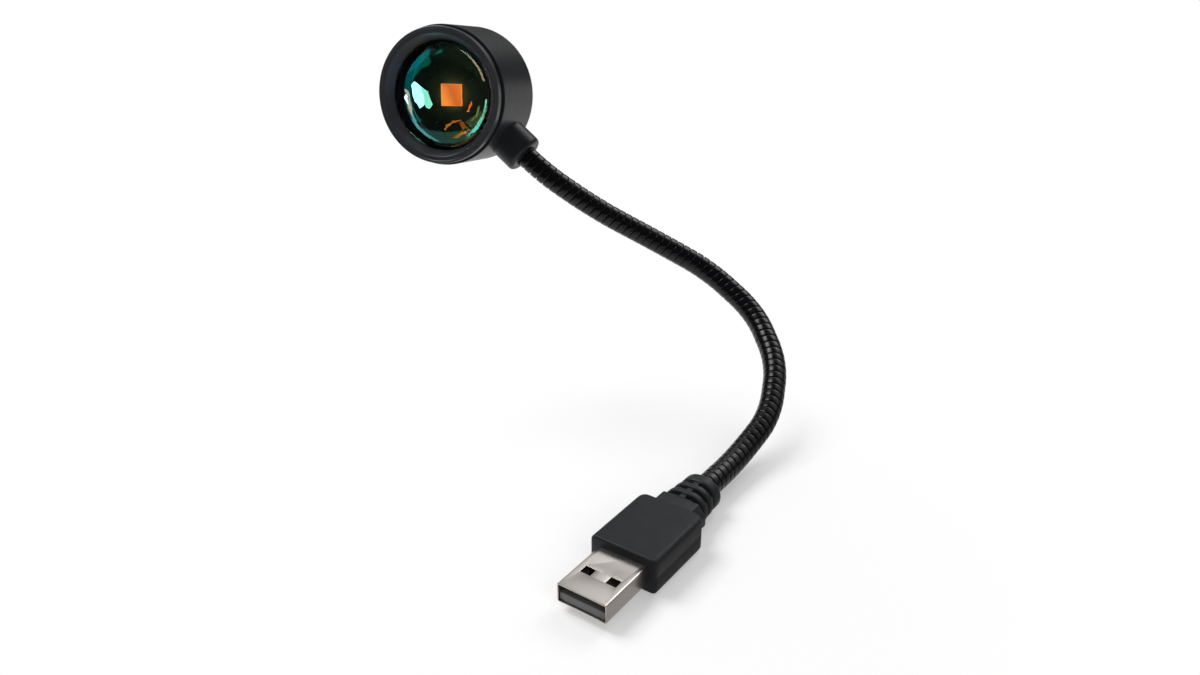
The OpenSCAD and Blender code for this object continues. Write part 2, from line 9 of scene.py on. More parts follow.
import bmesh
import bpy
from mathutils import Matrix, Vector
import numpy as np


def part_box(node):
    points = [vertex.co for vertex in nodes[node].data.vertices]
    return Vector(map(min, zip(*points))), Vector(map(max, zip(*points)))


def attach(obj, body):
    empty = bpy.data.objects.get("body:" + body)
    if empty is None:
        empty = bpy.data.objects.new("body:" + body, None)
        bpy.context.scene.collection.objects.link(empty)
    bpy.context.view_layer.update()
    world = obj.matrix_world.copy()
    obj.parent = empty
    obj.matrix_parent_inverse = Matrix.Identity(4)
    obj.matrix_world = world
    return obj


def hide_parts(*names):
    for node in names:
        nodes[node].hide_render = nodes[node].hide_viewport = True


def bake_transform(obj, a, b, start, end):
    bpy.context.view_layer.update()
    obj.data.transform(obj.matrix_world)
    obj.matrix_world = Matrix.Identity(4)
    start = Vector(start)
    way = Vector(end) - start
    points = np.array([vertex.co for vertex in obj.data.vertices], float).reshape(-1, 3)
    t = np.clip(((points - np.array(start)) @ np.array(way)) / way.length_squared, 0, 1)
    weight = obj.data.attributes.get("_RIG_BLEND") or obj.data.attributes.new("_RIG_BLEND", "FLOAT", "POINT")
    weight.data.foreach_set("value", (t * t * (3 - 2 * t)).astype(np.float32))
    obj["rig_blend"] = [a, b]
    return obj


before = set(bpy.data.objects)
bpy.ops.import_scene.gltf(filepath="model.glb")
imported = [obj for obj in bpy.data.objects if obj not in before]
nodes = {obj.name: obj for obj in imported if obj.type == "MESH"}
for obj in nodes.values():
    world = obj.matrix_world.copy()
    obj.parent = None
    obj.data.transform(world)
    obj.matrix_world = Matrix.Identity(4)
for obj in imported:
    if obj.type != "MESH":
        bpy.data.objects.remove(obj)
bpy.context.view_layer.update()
MM = 0.001

# %% [markdown]
# ## Camera
# The photo looks down at the plug from its front right corner. The place, the direction and the
# focal length were fitted to the plug, whose metal shell is 12 mm by 4.5 mm on every such plug.


# %% Camera
def in_scene(name, data):
    """A new object for a mesh, a lamp or a camera."""
    thing = bpy.data.objects.new(name, data)
    bpy.context.scene.collection.objects.link(thing)
    return thing


CAMERA_PLACE = Vector((91.642, -137.460, 131.518)) * MM
CAMERA_AROUND, CAMERA_UP = math.radians(35.306), math.radians(25.716)
camera = in_scene("camera", bpy.data.cameras.new("camera"))
camera.data.lens = 30
camera.data.sensor_width = 36
camera.data.clip_start = 0.005
camera.location = CAMERA_PLACE
camera.rotation_euler = (math.pi / 2 - CAMERA_UP, 0, CAMERA_AROUND)
bpy.context.scene.camera = camera
print("camera at", [round(c, 3) for c in camera.location])

# %% [markdown]
# ## Tools for shapes
# Most pieces here are turned on a lathe, pressed, or moulded between two halves. So two helpers
# make most of them: one turns an outline round an axis, the other skins a row of outlines. Both
# give closed shells with their faces outwards. A third rounds the corners of an outline, because
# no real edge is sharp and it is the small radius that catches the light.


# %% Helpers for outlines
def rounded(corners, steps=4):
    """The outline through corners (x, y, radius), with an arc at each corner that has a radius."""
    points = []
    for i, (x, y, r) in enumerate(corners):
        here = Vector((x, y))
        if r <= 0:
            points.append(here)
            continue
        back = (Vector(corners[i - 1][:2]) - here).normalized()
        on = (Vector(corners[(i + 1) % len(corners)][:2]) - here).normalized()
        half = back.angle(on) / 2
        middle = here + (back + on).normalized() * (r / math.sin(half))
        first = here + back * (r / math.tan(half)) - middle
        last = here + on * (r / math.tan(half)) - middle
        start = math.atan2(first.y, first.x)
        turn = math.remainder(math.atan2(last.y, last.x) - start, 2 * math.pi)
        for s in range(steps + 1):
            a = start + turn * s / steps
            points.append(middle + Vector((math.cos(a), math.sin(a))) * r)
    return points


def circle(radius, sides):
    """Points (x, y) evenly round a circle."""
    angles = [2 * math.pi * j / sides for j in range(sides)]
    return [(radius * math.cos(a), radius * math.sin(a)) for a in angles]


def braced(points, closed, near=0.05):
    """Adds a point near both ends of each long straight, so that it stays flat in the shading."""
    full = []
    for i, point in enumerate(points):
        full.append(point)
        if i + 1 < len(points) or closed:
            here, there = Vector(point), Vector(points[(i + 1) % len(points)])
            if (there - here).length > 6 * near:
                step = (there - here).normalized() * near
                full += [tuple(here + step), tuple(there - step)]
    return full


# %% Helpers for skins
def plain_mesh(name, points, edges, faces):
    mesh = bpy.data.meshes.new(name)
    mesh.from_pydata([tuple(p) for p in points], edges, faces)
    return mesh


def new_piece(name, vertices, faces, sharp=40):
    """A piece with merged points, outward faces, and hard shading past an angle in degrees."""
    mesh = plain_mesh(name, vertices, [], faces)
    solid = bmesh.new()
    solid.from_mesh(mesh)
    bmesh.ops.remove_doubles(solid, verts=solid.verts, dist=1e-7)
    bmesh.ops.recalc_face_normals(solid, faces=solid.faces)
    solid.to_mesh(mesh)
    solid.free()
    mesh.shade_smooth()
    mesh.set_sharp_from_angle(angle=math.radians(sharp))
    return in_scene(name, mesh)


def skinned(name, loops, looped=False, sharp=40):
    """A closed shell over a row of outlines that have the same number of points."""
    n, m = len(loops[0]), len(loops)
    vertices = [Vector(p) * MM for loop in loops for p in loop]
    faces = []
    for i in range(m if looped else m - 1):
        for j in range(n):
            a, b = i * n + j, i * n + (j + 1) % n
            c, d = (i + 1) % m * n + j, (i + 1) % m * n + (j + 1) % n
            faces.append((a, b, d, c))
    if not looped:
        faces += [tuple(reversed(range(n))), tuple(range((m - 1) * n, m * n))]
    return new_piece(name, vertices, faces, sharp)


def turned(name, outline, place, steps=160, sharp=35):
    """An outline of (radius, height) points turned round the local Z axis of a place."""
    on_axis = [p for p in outline if p[0] < 1e-6]
    points = braced([p for p in outline if p[0] >= 1e-6], not on_axis)
    vertices, faces = [], []
    for s in range(steps):
        a = 2 * math.pi * s / steps
        for r, z in points:
            vertices.append(place @ (Vector((r * math.cos(a), r * math.sin(a), z)) * MM))
    k = len(points)
    for s in range(steps):
        t = (s + 1) % steps
        for i in range(k if not on_axis else k - 1):
            j = (i + 1) % k
            faces.append((s * k + i, t * k + i, t * k + j, s * k + j))
    for end, z in ((0, on_axis[0][1]), (k - 1, on_axis[-1][1])) if on_axis else ():
        vertices.append(place @ (Vector((0, 0, z)) * MM))
        for s in range(steps):
            faces.append((s * k + end, (s + 1) % steps * k + end, len(vertices) - 1))
    return new_piece(name, vertices, faces, sharp)


def soft_box(name, low, high, edge):
    """A box between two corners whose edges all have a small radius."""
    solid = bmesh.new()
    bmesh.ops.create_cube(solid, size=1)
    for v in solid.verts:
        v.co = [(a + b) / 2 + c * (b - a) for a, b, c in zip(low, high, v.co)]
    bmesh.ops.bevel(solid, geom=solid.edges, offset=edge, segments=3, profile=0.5,
                    affect="EDGES")
    points = [v.co.copy() * MM for v in solid.verts]
    faces = [[v.index for v in f.verts] for f in solid.faces]
    solid.free()
    return new_piece(name, points, faces, sharp=50)


# %% [markdown]
# ## Tools for joining, cutting and finishing a piece
# Boxes cut the windows and slots, as a punch or a core in the mould does. After a modifier has
# done its work it is settled into a plain mesh. Each finished piece then gets its material, the
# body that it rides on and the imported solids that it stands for.


# %% Helpers for joining, cutting and finishing
def joined(name, pieces):
    """Several closed shells as one piece."""
    with bpy.context.temp_override(active_object=pieces[0], selected_editable_objects=pieces):
        bpy.ops.object.join()
    pieces[0].name = name
    pieces[0].data.name = name
    return pieces[0]


def settle(piece):
    """Turns a piece and its modifiers into one plain mesh."""
    graph = bpy.context.evaluated_depsgraph_get()
    mesh = bpy.data.meshes.new_from_object(piece.evaluated_get(graph))
    piece.modifiers.clear()
    piece.data = mesh
    mesh.name = piece.name
    return piece


def cut_out(piece, name, boxes):
    """Cuts boxes out of a piece."""
    cutter = joined(name, boxes)
    cut = piece.modifiers.new(name, "BOOLEAN")
    cut.object, cut.operation, cut.solver = cutter, "DIFFERENCE", "EXACT"
    settle(piece)
    bpy.data.objects.remove(cutter)


def finish_piece(piece, body, slot, material, *cad_nodes):
    """Gives a piece its finish, ties it to its body and lets it stand for its CAD nodes."""
    piece.data.materials.clear()
    piece.data.materials.append(material)
    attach(piece, body)
    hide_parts(*cad_nodes)
    print(piece.name, len(piece.data.vertices), "points, rides on", body)
    return piece


# %% [markdown]
# ## Tools for finishes
# Every finish is one Principled shader. What makes it read as the real thing is small: a grain in
# the bump, a roughness that isn't the same everywhere, a colour that drifts a little. A helper
# sets these up from a few plain numbers, all in object coordinates, so the grain has a real size.


# %% Helpers for node trees
def put(tree, kind, inputs, **settings):
    """Adds a node, sets it up and feeds its inputs with values or with other nodes' outputs."""
    node = tree.nodes.new(kind)
    for key, value in settings.items():
        setattr(node, key, value)
    for key, value in inputs.items():
        if isinstance(value, bpy.types.NodeSocket):
            tree.links.new(value, node.inputs[key])
        else:
            node.inputs[key].default_value = value
    return node


def calc(tree, operation, a, b=0.0):
    """One step of arithmetic in a tree."""
    return put(tree, "ShaderNodeMath", {0: a, 1: b}, operation=operation).outputs[0]


def coordinates(tree, kind="Object"):
    return tree.nodes.new("ShaderNodeTexCoord").outputs[kind]


def new_material(name):
    """A material, its tree and its Principled shader."""
    material = bpy.data.materials.new(name)
    material.use_nodes = True
    return material, material.node_tree, material.node_tree.nodes["Principled BSDF"]


# %% Helper for finishes
def finish(name, colour, rough, metal=0.0, grain=None, drift=0.0, rough_drift=0.0, **more):
    """grain is (size in mm, depth in mm). drift and rough_drift are shares of the value."""
    material, tree, shader = new_material(name)
    shader.inputs["Base Color"].default_value = (*colour, 1)
    shader.inputs["Roughness"].default_value = rough
    shader.inputs["Metallic"].default_value = metal
    for socket, value in more.items():
        shader.inputs[socket.replace("_", " ")].default_value = value
    place = coordinates(tree)

    def noise(size, detail=3.0):
        return put(tree, "ShaderNodeTexNoise", {
            "Vector": place, "Scale": 1 / (size * MM), "Detail": detail}).outputs["Fac"]

    def ranged(value, low, high):
        return put(tree, "ShaderNodeMapRange", {
            "Value": value, "From Min": 0.3, "From Max": 0.7,
            "To Min": low, "To Max": high}).outputs["Result"]

    if drift:
        mix = put(tree, "ShaderNodeMix", {
            "Factor": ranged(noise(3.0), 0, 1), "A": (*[c * (1 - drift) for c in colour], 1),
            "B": (*[min(1, c * (1 + drift)) for c in colour], 1)}, data_type="RGBA")
        tree.links.new(mix.outputs["Result"], shader.inputs["Base Color"])
    if rough_drift:
        low, high = rough * (1 - rough_drift), rough * (1 + rough_drift)
        tree.links.new(ranged(noise(1.6), low, high), shader.inputs["Roughness"])
    if grain:
        bump = put(tree, "ShaderNodeBump", {
            "Height": noise(grain[0], 2.0), "Distance": grain[1] * MM, "Strength": 1.0})
        tree.links.new(bump.outputs["Normal"], shader.inputs["Normal"])
    return material


# %% [markdown]
# ## The finishes
# - nickel: the plug's shell, pressed from plated strip, satin, faintly warm
# - moulded charcoal: the housing, with the fine sparked grain of its mould
# - soft black: the strain relief and the bush, a rubbery moulding with less shine
# - gloss black: the neck's band, lacquered, so each turn carries its own highlight
# - dark anodised: the head and socket, turned and blasted, then dyed nearly black
# - bezel black: the same dye, smoother and shinier, its colour painted lighter for the lit lip
#
# The last six are inside the lamp. Those near the lens are black, so that no stray light comes
# back through it.

# %% Finishes
NICKEL = finish("nickel", (0.62, 0.58, 0.545), 0.30, 1.0, (0.10, 0.0002), 0.02, 0.06)
CHARCOAL = finish("moulded_charcoal", (0.014, 0.015, 0.017), 0.46, 0.0, (0.22, 0.012), 0.10, 0.10,
                  Specular_IOR_Level=0.22)
SOFT_BLACK = finish("soft_black", (0.013, 0.014, 0.016), 0.45, 0.0, (0.22, 0.003), 0.10, 0.10,
                    Specular_IOR_Level=0.3)
GLOSS_BLACK = finish("gloss_black", (0.003, 0.003, 0.004), 0.24, 0.0, (0.5, 0.002), 0.1, 0.12,
                     Specular_IOR_Level=0.3)
LINER = finish("neck_inner_spring", (0.004, 0.004, 0.004), 0.5, 0.0, (0.2, 0.003), 0.1)
ANODISED = finish("dark_anodised", (0.013, 0.014, 0.016), 0.36, 0.0, (0.10, 0.001), 0.06, 0.08,
                  Specular_IOR_Level=0.2)
# Twice the head's colour: painted light for the light that the bezel's flat lip catches
BEZEL_BLACK = finish("bezel_black", (0.026, 0.028, 0.031), 0.30, 0.0, (0.10, 0.001), 0.06, 0.08,
                     Specular_IOR_Level=0.5)
GREY_PLASTIC = finish("grey_plastic", (0.115, 0.113, 0.112), 0.45, 0.0, (0.3, 0.003), 0.06, 0.1)
GOLD = finish("gold_plate", (0.85, 0.50, 0.18), 0.22, 1.0, (0.1, 0.0008), 0.06, 0.2)
RIM_BRASS = finish("rim_round_the_glass", (0.11, 0.09, 0.06), 0.4, 1.0, (0.1, 0.0004), 0.05, 0.1)
WHITE_PLASTIC = finish("white_plastic", (0.72, 0.72, 0.69), 0.5, 0.0, (0.4, 0.003), 0.04, 0.1)
LEAD_RED = finish("lead_insulation", (0.32, 0.012, 0.010), 0.42, 0.0, (0.3, 0.004), 0.08, 0.1)
BARE_METAL = finish("turned_aluminium", (0.58, 0.59, 0.60), 0.33, 1.0, (0.08, 0.001), 0.05, 0.2)
BOARD = finish("black_solder_mask", (0.004, 0.005, 0.004), 0.5, 0.0, (0.5, 0.002), 0.1, 0.1,
               Specular_IOR_Level=0.15)
DARK_TUBE = finish("matt_black_tube", (0.003, 0.003, 0.003), 0.8, 0.0, (0.3, 0.004), 0.1, 0.1,
                   Specular_IOR_Level=0.1)
LEAD_BLACK = finish("black_insulation", (0.004, 0.004, 0.004), 0.6, 0.0, (0.3, 0.003), 0.1, 0.1,
                    Specular_IOR_Level=0.15)
print(len(bpy.data.materials), "finishes so far")

# %% [markdown]
# ## Neck
# A gooseneck is a spring of fine wire with a second band wound tightly over it. The turns rub on
# each other and hold whatever bend they are given. It could be modelled as a bumpy tube, but the
# dark line between two turns is a real gap, so here one band is wound, turn after turn, along the
# neck's middle line. The line is the same as in the solids: eight stretches, each straight at
# first and then bent to a radius.

# %% The neck's middle line
# For each stretch: how far it bends, and the direction that it bends in, both in degrees
BENDS = [15, 24, 25, 34, 28, 5, 6, 19.4]
PLANES = [83, 158, 162, 145, 137, 120, 3, -38.6]
# The length of a stretch, its straight start, and where the first one starts behind the plug
STRETCH, STRAIGHT, START = 17.5, 3.6, 37.5


def along_stretch(k, u):
    """The frame at length u of stretch k, seen from the frame at its start."""
    radius = (STRETCH - STRAIGHT) / math.radians(BENDS[k])
    turn = min(max(u - STRAIGHT, 0) / radius, math.radians(BENDS[k]))
    past = max(u - STRETCH, 0)
    out = radius * (1 - math.cos(turn)) + past * math.sin(turn)
    up = min(u, STRAIGHT) + radius * math.sin(turn) + past * math.cos(turn)
    side = Matrix.Rotation(math.radians(PLANES[k]), 4, "Z")
    move = Matrix.Translation((out, 0, up)) @ Matrix.Rotation(turn, 4, "Y")
    return side @ move @ side.inverted()


frames = [Matrix(((1, 0, 0, 0), (0, 0, 1, START), (0, 1, 0, 0), (0, 0, 0, 1)))]
for k in range(len(BENDS)):
    frames.append(frames[-1] @ along_stretch(k, STRETCH))


def neck_frame(length):
    """The frame at a length along the whole neck, from its first bend's start, in mm."""
    k = min(max(int(length // STRETCH), 0), len(BENDS) - 1)
    return frames[k] @ along_stretch(k, length - k * STRETCH)


print("neck ends at", [round(c, 1) for c in frames[-1].translation])


# %% [markdown]
# ### Winding the band with nodes
# The winding follows a rule, so Geometry Nodes make it. The tree takes a line that knows how far
# along it is and which way its two sides point, moves each point out round the line, one turn for
# each pitch, and sweeps the band's cross-section along the result.


# %% Helpers for Geometry Nodes
def new_tree(name, sockets):
    """A tree for Geometry Nodes with its inputs given as (name, kind, value)."""
    tree = bpy.data.node_groups.new(name, "GeometryNodeTree")
    for label, kind, value in sockets:
        socket = tree.interface.new_socket(label, in_out="INPUT", socket_type="NodeSocket" + kind)
        if value is not None:
            socket.default_value = value
    tree.interface.new_socket("Geometry", in_out="OUTPUT", socket_type="NodeSocketGeometry")
    return tree


def grown(tree, line, values):
    """Runs a tree on a line and gives back the plain mesh that it makes."""
    modifier = line.modifiers.new(tree.name, "NODES")
    modifier.node_group = tree
    for socket in tree.interface.items_tree:
        if socket.in_out == "INPUT" and socket.name in values:
            modifier[socket.identifier] = values[socket.name]
    return settle(line)


# %% The tree that winds a band round a line
def band_tree():
    tree = new_tree("wound_band", [
        ("Line", "Geometry", None), ("Outer radius", "Float", 0.003), ("Pitch", "Float", 0.002),
        ("Band width", "Float", 0.002), ("Band thickness", "Float", 0.0009),
        ("Steps a turn", "Int", 48), ("Unevenness", "Float", 0.0), ("Finish", "Material", None)])
    given = tree.nodes.new("NodeGroupInput").outputs

    def attribute(name, kind="FLOAT_VECTOR"):
        return put(tree, "GeometryNodeInputNamedAttribute", {"Name": name},
                   data_type=kind).outputs[0]

    def scaled(vector, by):
        return put(tree, "ShaderNodeVectorMath", {0: vector, "Scale": by},
                   operation="SCALE").outputs[0]

    step = calc(tree, "DIVIDE", given["Pitch"], given["Steps a turn"])
    curve = put(tree, "GeometryNodeMeshToCurve", {"Mesh": given["Line"]}).outputs[0]
    fine = put(tree, "GeometryNodeResampleCurve", {"Curve": curve, "Length": step}, mode="LENGTH")
    turns = calc(tree, "DIVIDE", attribute("along", "FLOAT"), given["Pitch"])
    angle = calc(tree, "MULTIPLY", turns, 2 * math.pi)
    radial = put(tree, "ShaderNodeVectorMath", {
        0: scaled(attribute("side_a"), calc(tree, "COSINE", angle)),
        1: scaled(attribute("side_b"), calc(tree, "SINE", angle))}, operation="ADD").outputs[0]
    uneven = put(tree, "ShaderNodeTexNoise", {"W": turns, "Scale": 1.3, "Detail": 0.0},
                 noise_dimensions="1D").outputs[0]
    sway = calc(tree, "MULTIPLY", calc(tree, "SUBTRACT", uneven, 1.0), given["Unevenness"])
    half = calc(tree, "MULTIPLY", given["Band thickness"], 0.5)
    out = calc(tree, "ADD", calc(tree, "SUBTRACT", given["Outer radius"], half), sway)
    helix = put(tree, "GeometryNodeSetPosition", {
        "Geometry": fine.outputs[0], "Offset": scaled(radial, out)}).outputs[0]
    helix = put(tree, "GeometryNodeSetCurveNormal", {0: helix, "Normal": radial},
                mode="FREE").outputs[0]

    # The cross-section: nearly a rectangle, with a crowned outer face and soft shoulders
    ring = put(tree, "GeometryNodeCurvePrimitiveCircle",
               {"Resolution": 24, "Radius": 1.0}).outputs[0]
    at = put(tree, "ShaderNodeSeparateXYZ",
             {0: put(tree, "GeometryNodeInputPosition", {}).outputs[0]})

    def squared(value, power, size):
        grown_out = calc(tree, "POWER", calc(tree, "ABSOLUTE", value), power)
        signed = calc(tree, "MULTIPLY", grown_out, calc(tree, "SIGN", value))
        return calc(tree, "MULTIPLY", signed, calc(tree, "MULTIPLY", size, 0.5))

    shape = put(tree, "ShaderNodeCombineXYZ", {
        0: squared(at.outputs[0], 0.38, given["Band thickness"]),
        1: squared(at.outputs[1], 0.32, given["Band width"])}).outputs[0]
    section = put(tree, "GeometryNodeSetPosition", {"Geometry": ring, "Position": shape}).outputs[0]
    band = put(tree, "GeometryNodeCurveToMesh", {
        "Curve": helix, "Profile Curve": section, "Fill Caps": True}).outputs[0]
    band = put(tree, "GeometryNodeSetShadeSmooth",
               {"Geometry": band, "Shade Smooth": True}).outputs[0]
    band = put(tree, "GeometryNodeRealizeInstances", {"Geometry": band}).outputs[0]
    band = put(tree, "GeometryNodeSetMaterial", {
        "Geometry": band, "Material": given["Finish"]}).outputs[0]
    tree.links.new(band, tree.nodes.new("NodeGroupOutput").inputs[0])
    return tree


BAND_TREE = band_tree()
print("band tree has", len(BAND_TREE.nodes), "nodes")


# %% [markdown]
# ### Seven lengths of neck
# The neck bends at seven places, one between each two stretches. Each length of band runs from
# the middle of one stretch to the middle of the next and bends across the joint between them, so
# the band stays whole in every pose. A plain dark tube under it stands for the inner spring and
# closes the view through the gaps.


# %% Helpers for a length of neck
def neck_line(name, start, end):
    """A line along the neck, with its place along it and its two sides as attributes."""
    count = int((end - start) / 0.4) + 1
    places = [start + (end - start) * i / count for i in range(count + 1)]
    mesh = plain_mesh(name, [neck_frame(p).translation * MM for p in places],
                      [(i, i + 1) for i in range(count)], [])
    lengths = mesh.attributes.new("along", "FLOAT", "POINT")
    lengths.data.foreach_set("value", [p * MM for p in places])
    for label, column in (("side_a", 0), ("side_b", 1)):
        side = mesh.attributes.new(label, "FLOAT_VECTOR", "POINT")
        vectors = [neck_frame(p).col[column].to_3d() for p in places]
        side.data.foreach_set("vector", [c for v in vectors for c in v])
    return in_scene(name, mesh)


def bend_with_neck(piece, k, material):
    """Lets a length of neck bend across joint k, counted from the plug."""
    piece.data.materials.clear()
    piece.data.materials.append(material)
    bodies = ["plug"] + [f"neck_{i}" for i in range(2, 8)] + ["head"]
    before, after = (k - 0.45) * STRETCH, (k + 0.45) * STRETCH
    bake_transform(piece, bodies[k - 1], bodies[k],
             start=neck_frame(before).translation * MM, end=neck_frame(after).translation * MM)


# %% Wind the neck
BAND = {"Outer radius": 3.0 * MM, "Pitch": 2.06 * MM, "Band width": 1.96 * MM,
        "Band thickness": 0.9 * MM, "Steps a turn": 48, "Unevenness": 0.04 * MM,
        "Finish": GLOSS_BLACK}
LINER_RADIUS, LINER_SIDES, LINER_STEPS = 2.5, 24, 24
# How far the neck goes on into the plug and into the head
ROOT_SEAT, HEAD_SEAT = 9.0, 5.6
JOINTS = len(BENDS) - 1

for k in range(1, JOINTS + 1):
    first = -ROOT_SEAT if k == 1 else (k - 0.5) * STRETCH
    last = len(BENDS) * STRETCH + HEAD_SEAT if k == JOINTS else (k + 0.5) * STRETCH
    band = grown(BAND_TREE, neck_line(f"neck_band_{k}", first, last), BAND)
    for name in [a.name for a in band.data.attributes if a.name in ("along", "side_a", "side_b")]:
        band.data.attributes.remove(band.data.attributes[name])
    bend_with_neck(band, k, GLOSS_BLACK)
    stations = [first + (last - first) * i / LINER_STEPS for i in range(LINER_STEPS + 1)]
    liner = skinned(f"neck_liner_{k}", [
        [neck_frame(s) @ Vector((x, y, 0)) for x, y in circle(LINER_RADIUS, LINER_SIDES)]
        for s in stations])
    bend_with_neck(liner, k, LINER)
    for stretch in (k, k + 1) if k == JOINTS else (k,):
        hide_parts(f"neck_coil_{stretch}")
        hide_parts(f"neck_core_{stretch}")
print("band:", len(band.data.polygons), "faces in the last length")

# %% [markdown]
# ## Plug shell
# The shell is folded from nickel plated strip 0.3 mm thick. Its long edges have the small radius
# of the fold, the front rim is cut and slightly rounded, and the windows are punched. It is built
# as a tube of sheet, the windows are cut by a boolean, and a bevel softens what the cuts leave.


# %% Shell
def rim_loop(width, height, radius, y, steps=6):
    """An upright rectangle with round corners, at a distance y along the plug."""
    w, h = width / 2, height / 2
    corners = [(w * sx, h * sz, radius) for sx, sz in ((1, 1), (-1, 1), (-1, -1), (1, -1))]
    return [(p.x, y, p.y) for p in rounded(corners, steps)]


def tube_of_sheet(name, width, height, radius, wall, front, back, lip):
    """A tube of sheet whose front rim is rounded by lip, inside and outside."""
    loops = [rim_loop(width - 2 * lip, height - 2 * lip, radius - lip, front)]
    loops += [rim_loop(width, height, radius, y) for y in (front + lip, back)]
    inner = (width - 2 * wall, height - 2 * wall, max(radius - wall, 0.12))
    loops += [rim_loop(*inner, back), rim_loop(*inner, front + lip)]
    loops += [rim_loop(inner[0] + 2 * lip, inner[1] + 2 * lip, inner[2] + lip, front)]
    return skinned(name, loops, looped=True, sharp=30)


SHELL_W, SHELL_H, SHELL_FOLD, SHELL_WALL = 12.0, 4.5, 0.45, 0.3
SHELL_TIP, SHELL_SEAT, SHELL_LIP = -14.4, 4.6, 0.06
WINDOW_X, WINDOW_Y, WINDOW_W, WINDOW_L = 3.1, SHELL_TIP + 5.5, 2.5, 2.2
shell = tube_of_sheet("plug_shell", SHELL_W, SHELL_H, SHELL_FOLD, SHELL_WALL,
                      SHELL_TIP, SHELL_SEAT, SHELL_LIP)
windows = []
for side in (-1, 1):
    x = side * WINDOW_X
    windows.append(soft_box(f"window_{side}", (x - WINDOW_W / 2, WINDOW_Y, -3),
                            (x + WINDOW_W / 2, WINDOW_Y + WINDOW_L, 3), 0.12))
cut_out(shell, "windows", windows)
edge = shell.modifiers.new("edge", "BEVEL")
edge.width, edge.segments = 0.035 * MM, 2
edge.limit_method, edge.angle_limit = "ANGLE", math.radians(50)
settle(shell)
shell.data.shade_smooth()
shell.data.set_sharp_from_angle(angle=math.radians(32))
finish_piece(shell, "plug", "shell", NICKEL, "usb_shell")

# %% [markdown]
# ## Insulator and contacts
# The tongue fills the lower half of the mouth. Its front edge is chamfered so that it finds its
# way into the port. This lamp takes power and sends nothing, so two contacts are enough, the
# outer ones, and they start a little way behind the tongue's front.

# %% Insulator and contacts
INSULATOR_X, INSULATOR_Z, TONGUE_TOP = 5.65, 1.9, 0.0
TONGUE_FRONT, BLOCK_FRONT = SHELL_TIP + 0.4, -1.4
tongue = soft_box("tongue", (-INSULATOR_X, TONGUE_FRONT, -INSULATOR_Z),
                  (INSULATOR_X, SHELL_SEAT, TONGUE_TOP), 0.14)
block = soft_box("tongue_block", (-INSULATOR_X, BLOCK_FRONT, -INSULATOR_Z),
                 (INSULATOR_X, SHELL_SEAT, INSULATOR_Z), 0.12)
finish_piece(joined("insulator", [tongue, block]), "plug", "insulator", GREY_PLASTIC,
             "usb_insulator")
CONTACT_X, CONTACT_W, CONTACT_SUNK, CONTACT_PROUD = 3.5, 1.2, 0.25, 0.04
CONTACT_FRONT = SHELL_TIP + 1.6
strips = []
for side in (-1, 1):
    low = (side * CONTACT_X - CONTACT_W / 2, CONTACT_FRONT, TONGUE_TOP - CONTACT_SUNK)
    high = (side * CONTACT_X + CONTACT_W / 2, SHELL_SEAT, TONGUE_TOP + CONTACT_PROUD)
    strips.append(soft_box(f"strip_{side}", low, high, 0.08))
finish_piece(joined("contacts", strips), "plug", "contacts", GOLD, "usb_contacts")

# %% [markdown]
# ## Plug housing
# The housing is moulded over the shell in two halves. It has a soft radius along its long edges,
# small ones round its front, round corners at the back when seen from above, and a faint parting
# line round its sides, where the mould's halves met. It is skinned over a row of cross-sections,
# because the radius at each end is then only a row of slightly smaller sections.

# %% Housing
HOUSING_W, HOUSING_H, HOUSING_L = 16.4, 8.5, 19.4
HOUSING_EDGE, HOUSING_CORNER, HOUSING_ROUND = 1.3, 1.8, 0.6
PARTING_DEPTH, PARTING_HALF = 0.05, 0.07


def housing_loop(width, height, radius, y):
    """One cross-section, with the parting line's groove in both sides."""
    loop, rim = [], rim_loop(width, height, radius, y, 8)
    for i, (x, _, z) in enumerate(rim):
        loop.append((x, y, z))
        nx, _, nz = rim[(i + 1) % len(rim)]
        if abs(x - nx) < 1e-6 and abs(z - nz) > 1:
            up = 1 if nz > z else -1
            shift = -PARTING_DEPTH if x > 0 else PARTING_DEPTH
            for level, push in ((-PARTING_HALF, 0), (0, shift), (PARTING_HALF, 0)):
                loop.append((x + push, y, level * up))
        elif abs(z - nz) < 1e-6 and abs(x - nx) > 1:
            for t in (0.25, 0.5, 0.75):
                loop.append((x + (nx - x) * t, y, z))
    return loop


def come_in(distance, radius):
    """How far a rounded end has come in, at a distance from the end."""
    if distance >= radius:
        return 0.0
    return radius - math.sqrt(max(radius ** 2 - (radius - distance) ** 2, 0))


def housing():
    ends = [HOUSING_ROUND * (1 - math.cos(math.radians(a))) for a in range(0, 91, 15)]
    rear = [HOUSING_L - HOUSING_CORNER * (1 - math.cos(math.radians(a)))
            for a in range(90, 19, -10)]
    rear += [HOUSING_L - e for e in reversed(ends) if HOUSING_L - e > rear[-1]]
    loops = []
    for y in ends + [3.0, 6.0, 9.0, 12.0, 15.0] + rear:
        from_end = HOUSING_L - y
        small = come_in(min(y, from_end), HOUSING_ROUND)
        wide = come_in(from_end, HOUSING_CORNER) if from_end < HOUSING_CORNER else small
        loops.append(housing_loop(HOUSING_W - 2 * wide, HOUSING_H - 2 * small,
                                  max(HOUSING_EDGE - small, 0.6), y))
    return skinned("plug_housing_shell", loops, sharp=60)


finish_piece(housing(), "plug", "housing", CHARCOAL, "plug_housing")

# %% [markdown]
# ## Strain relief
# Behind the housing the moulding goes on in a softer material: a chamfered block, then an oval
# sleeve whose wall is slotted, so that it bends a little with the neck. The sleeve is skinned over
# stadium outlines, and four slots in each of three rows are cut from it, which leaves narrow webs
# above and below and broad ones at the sides.

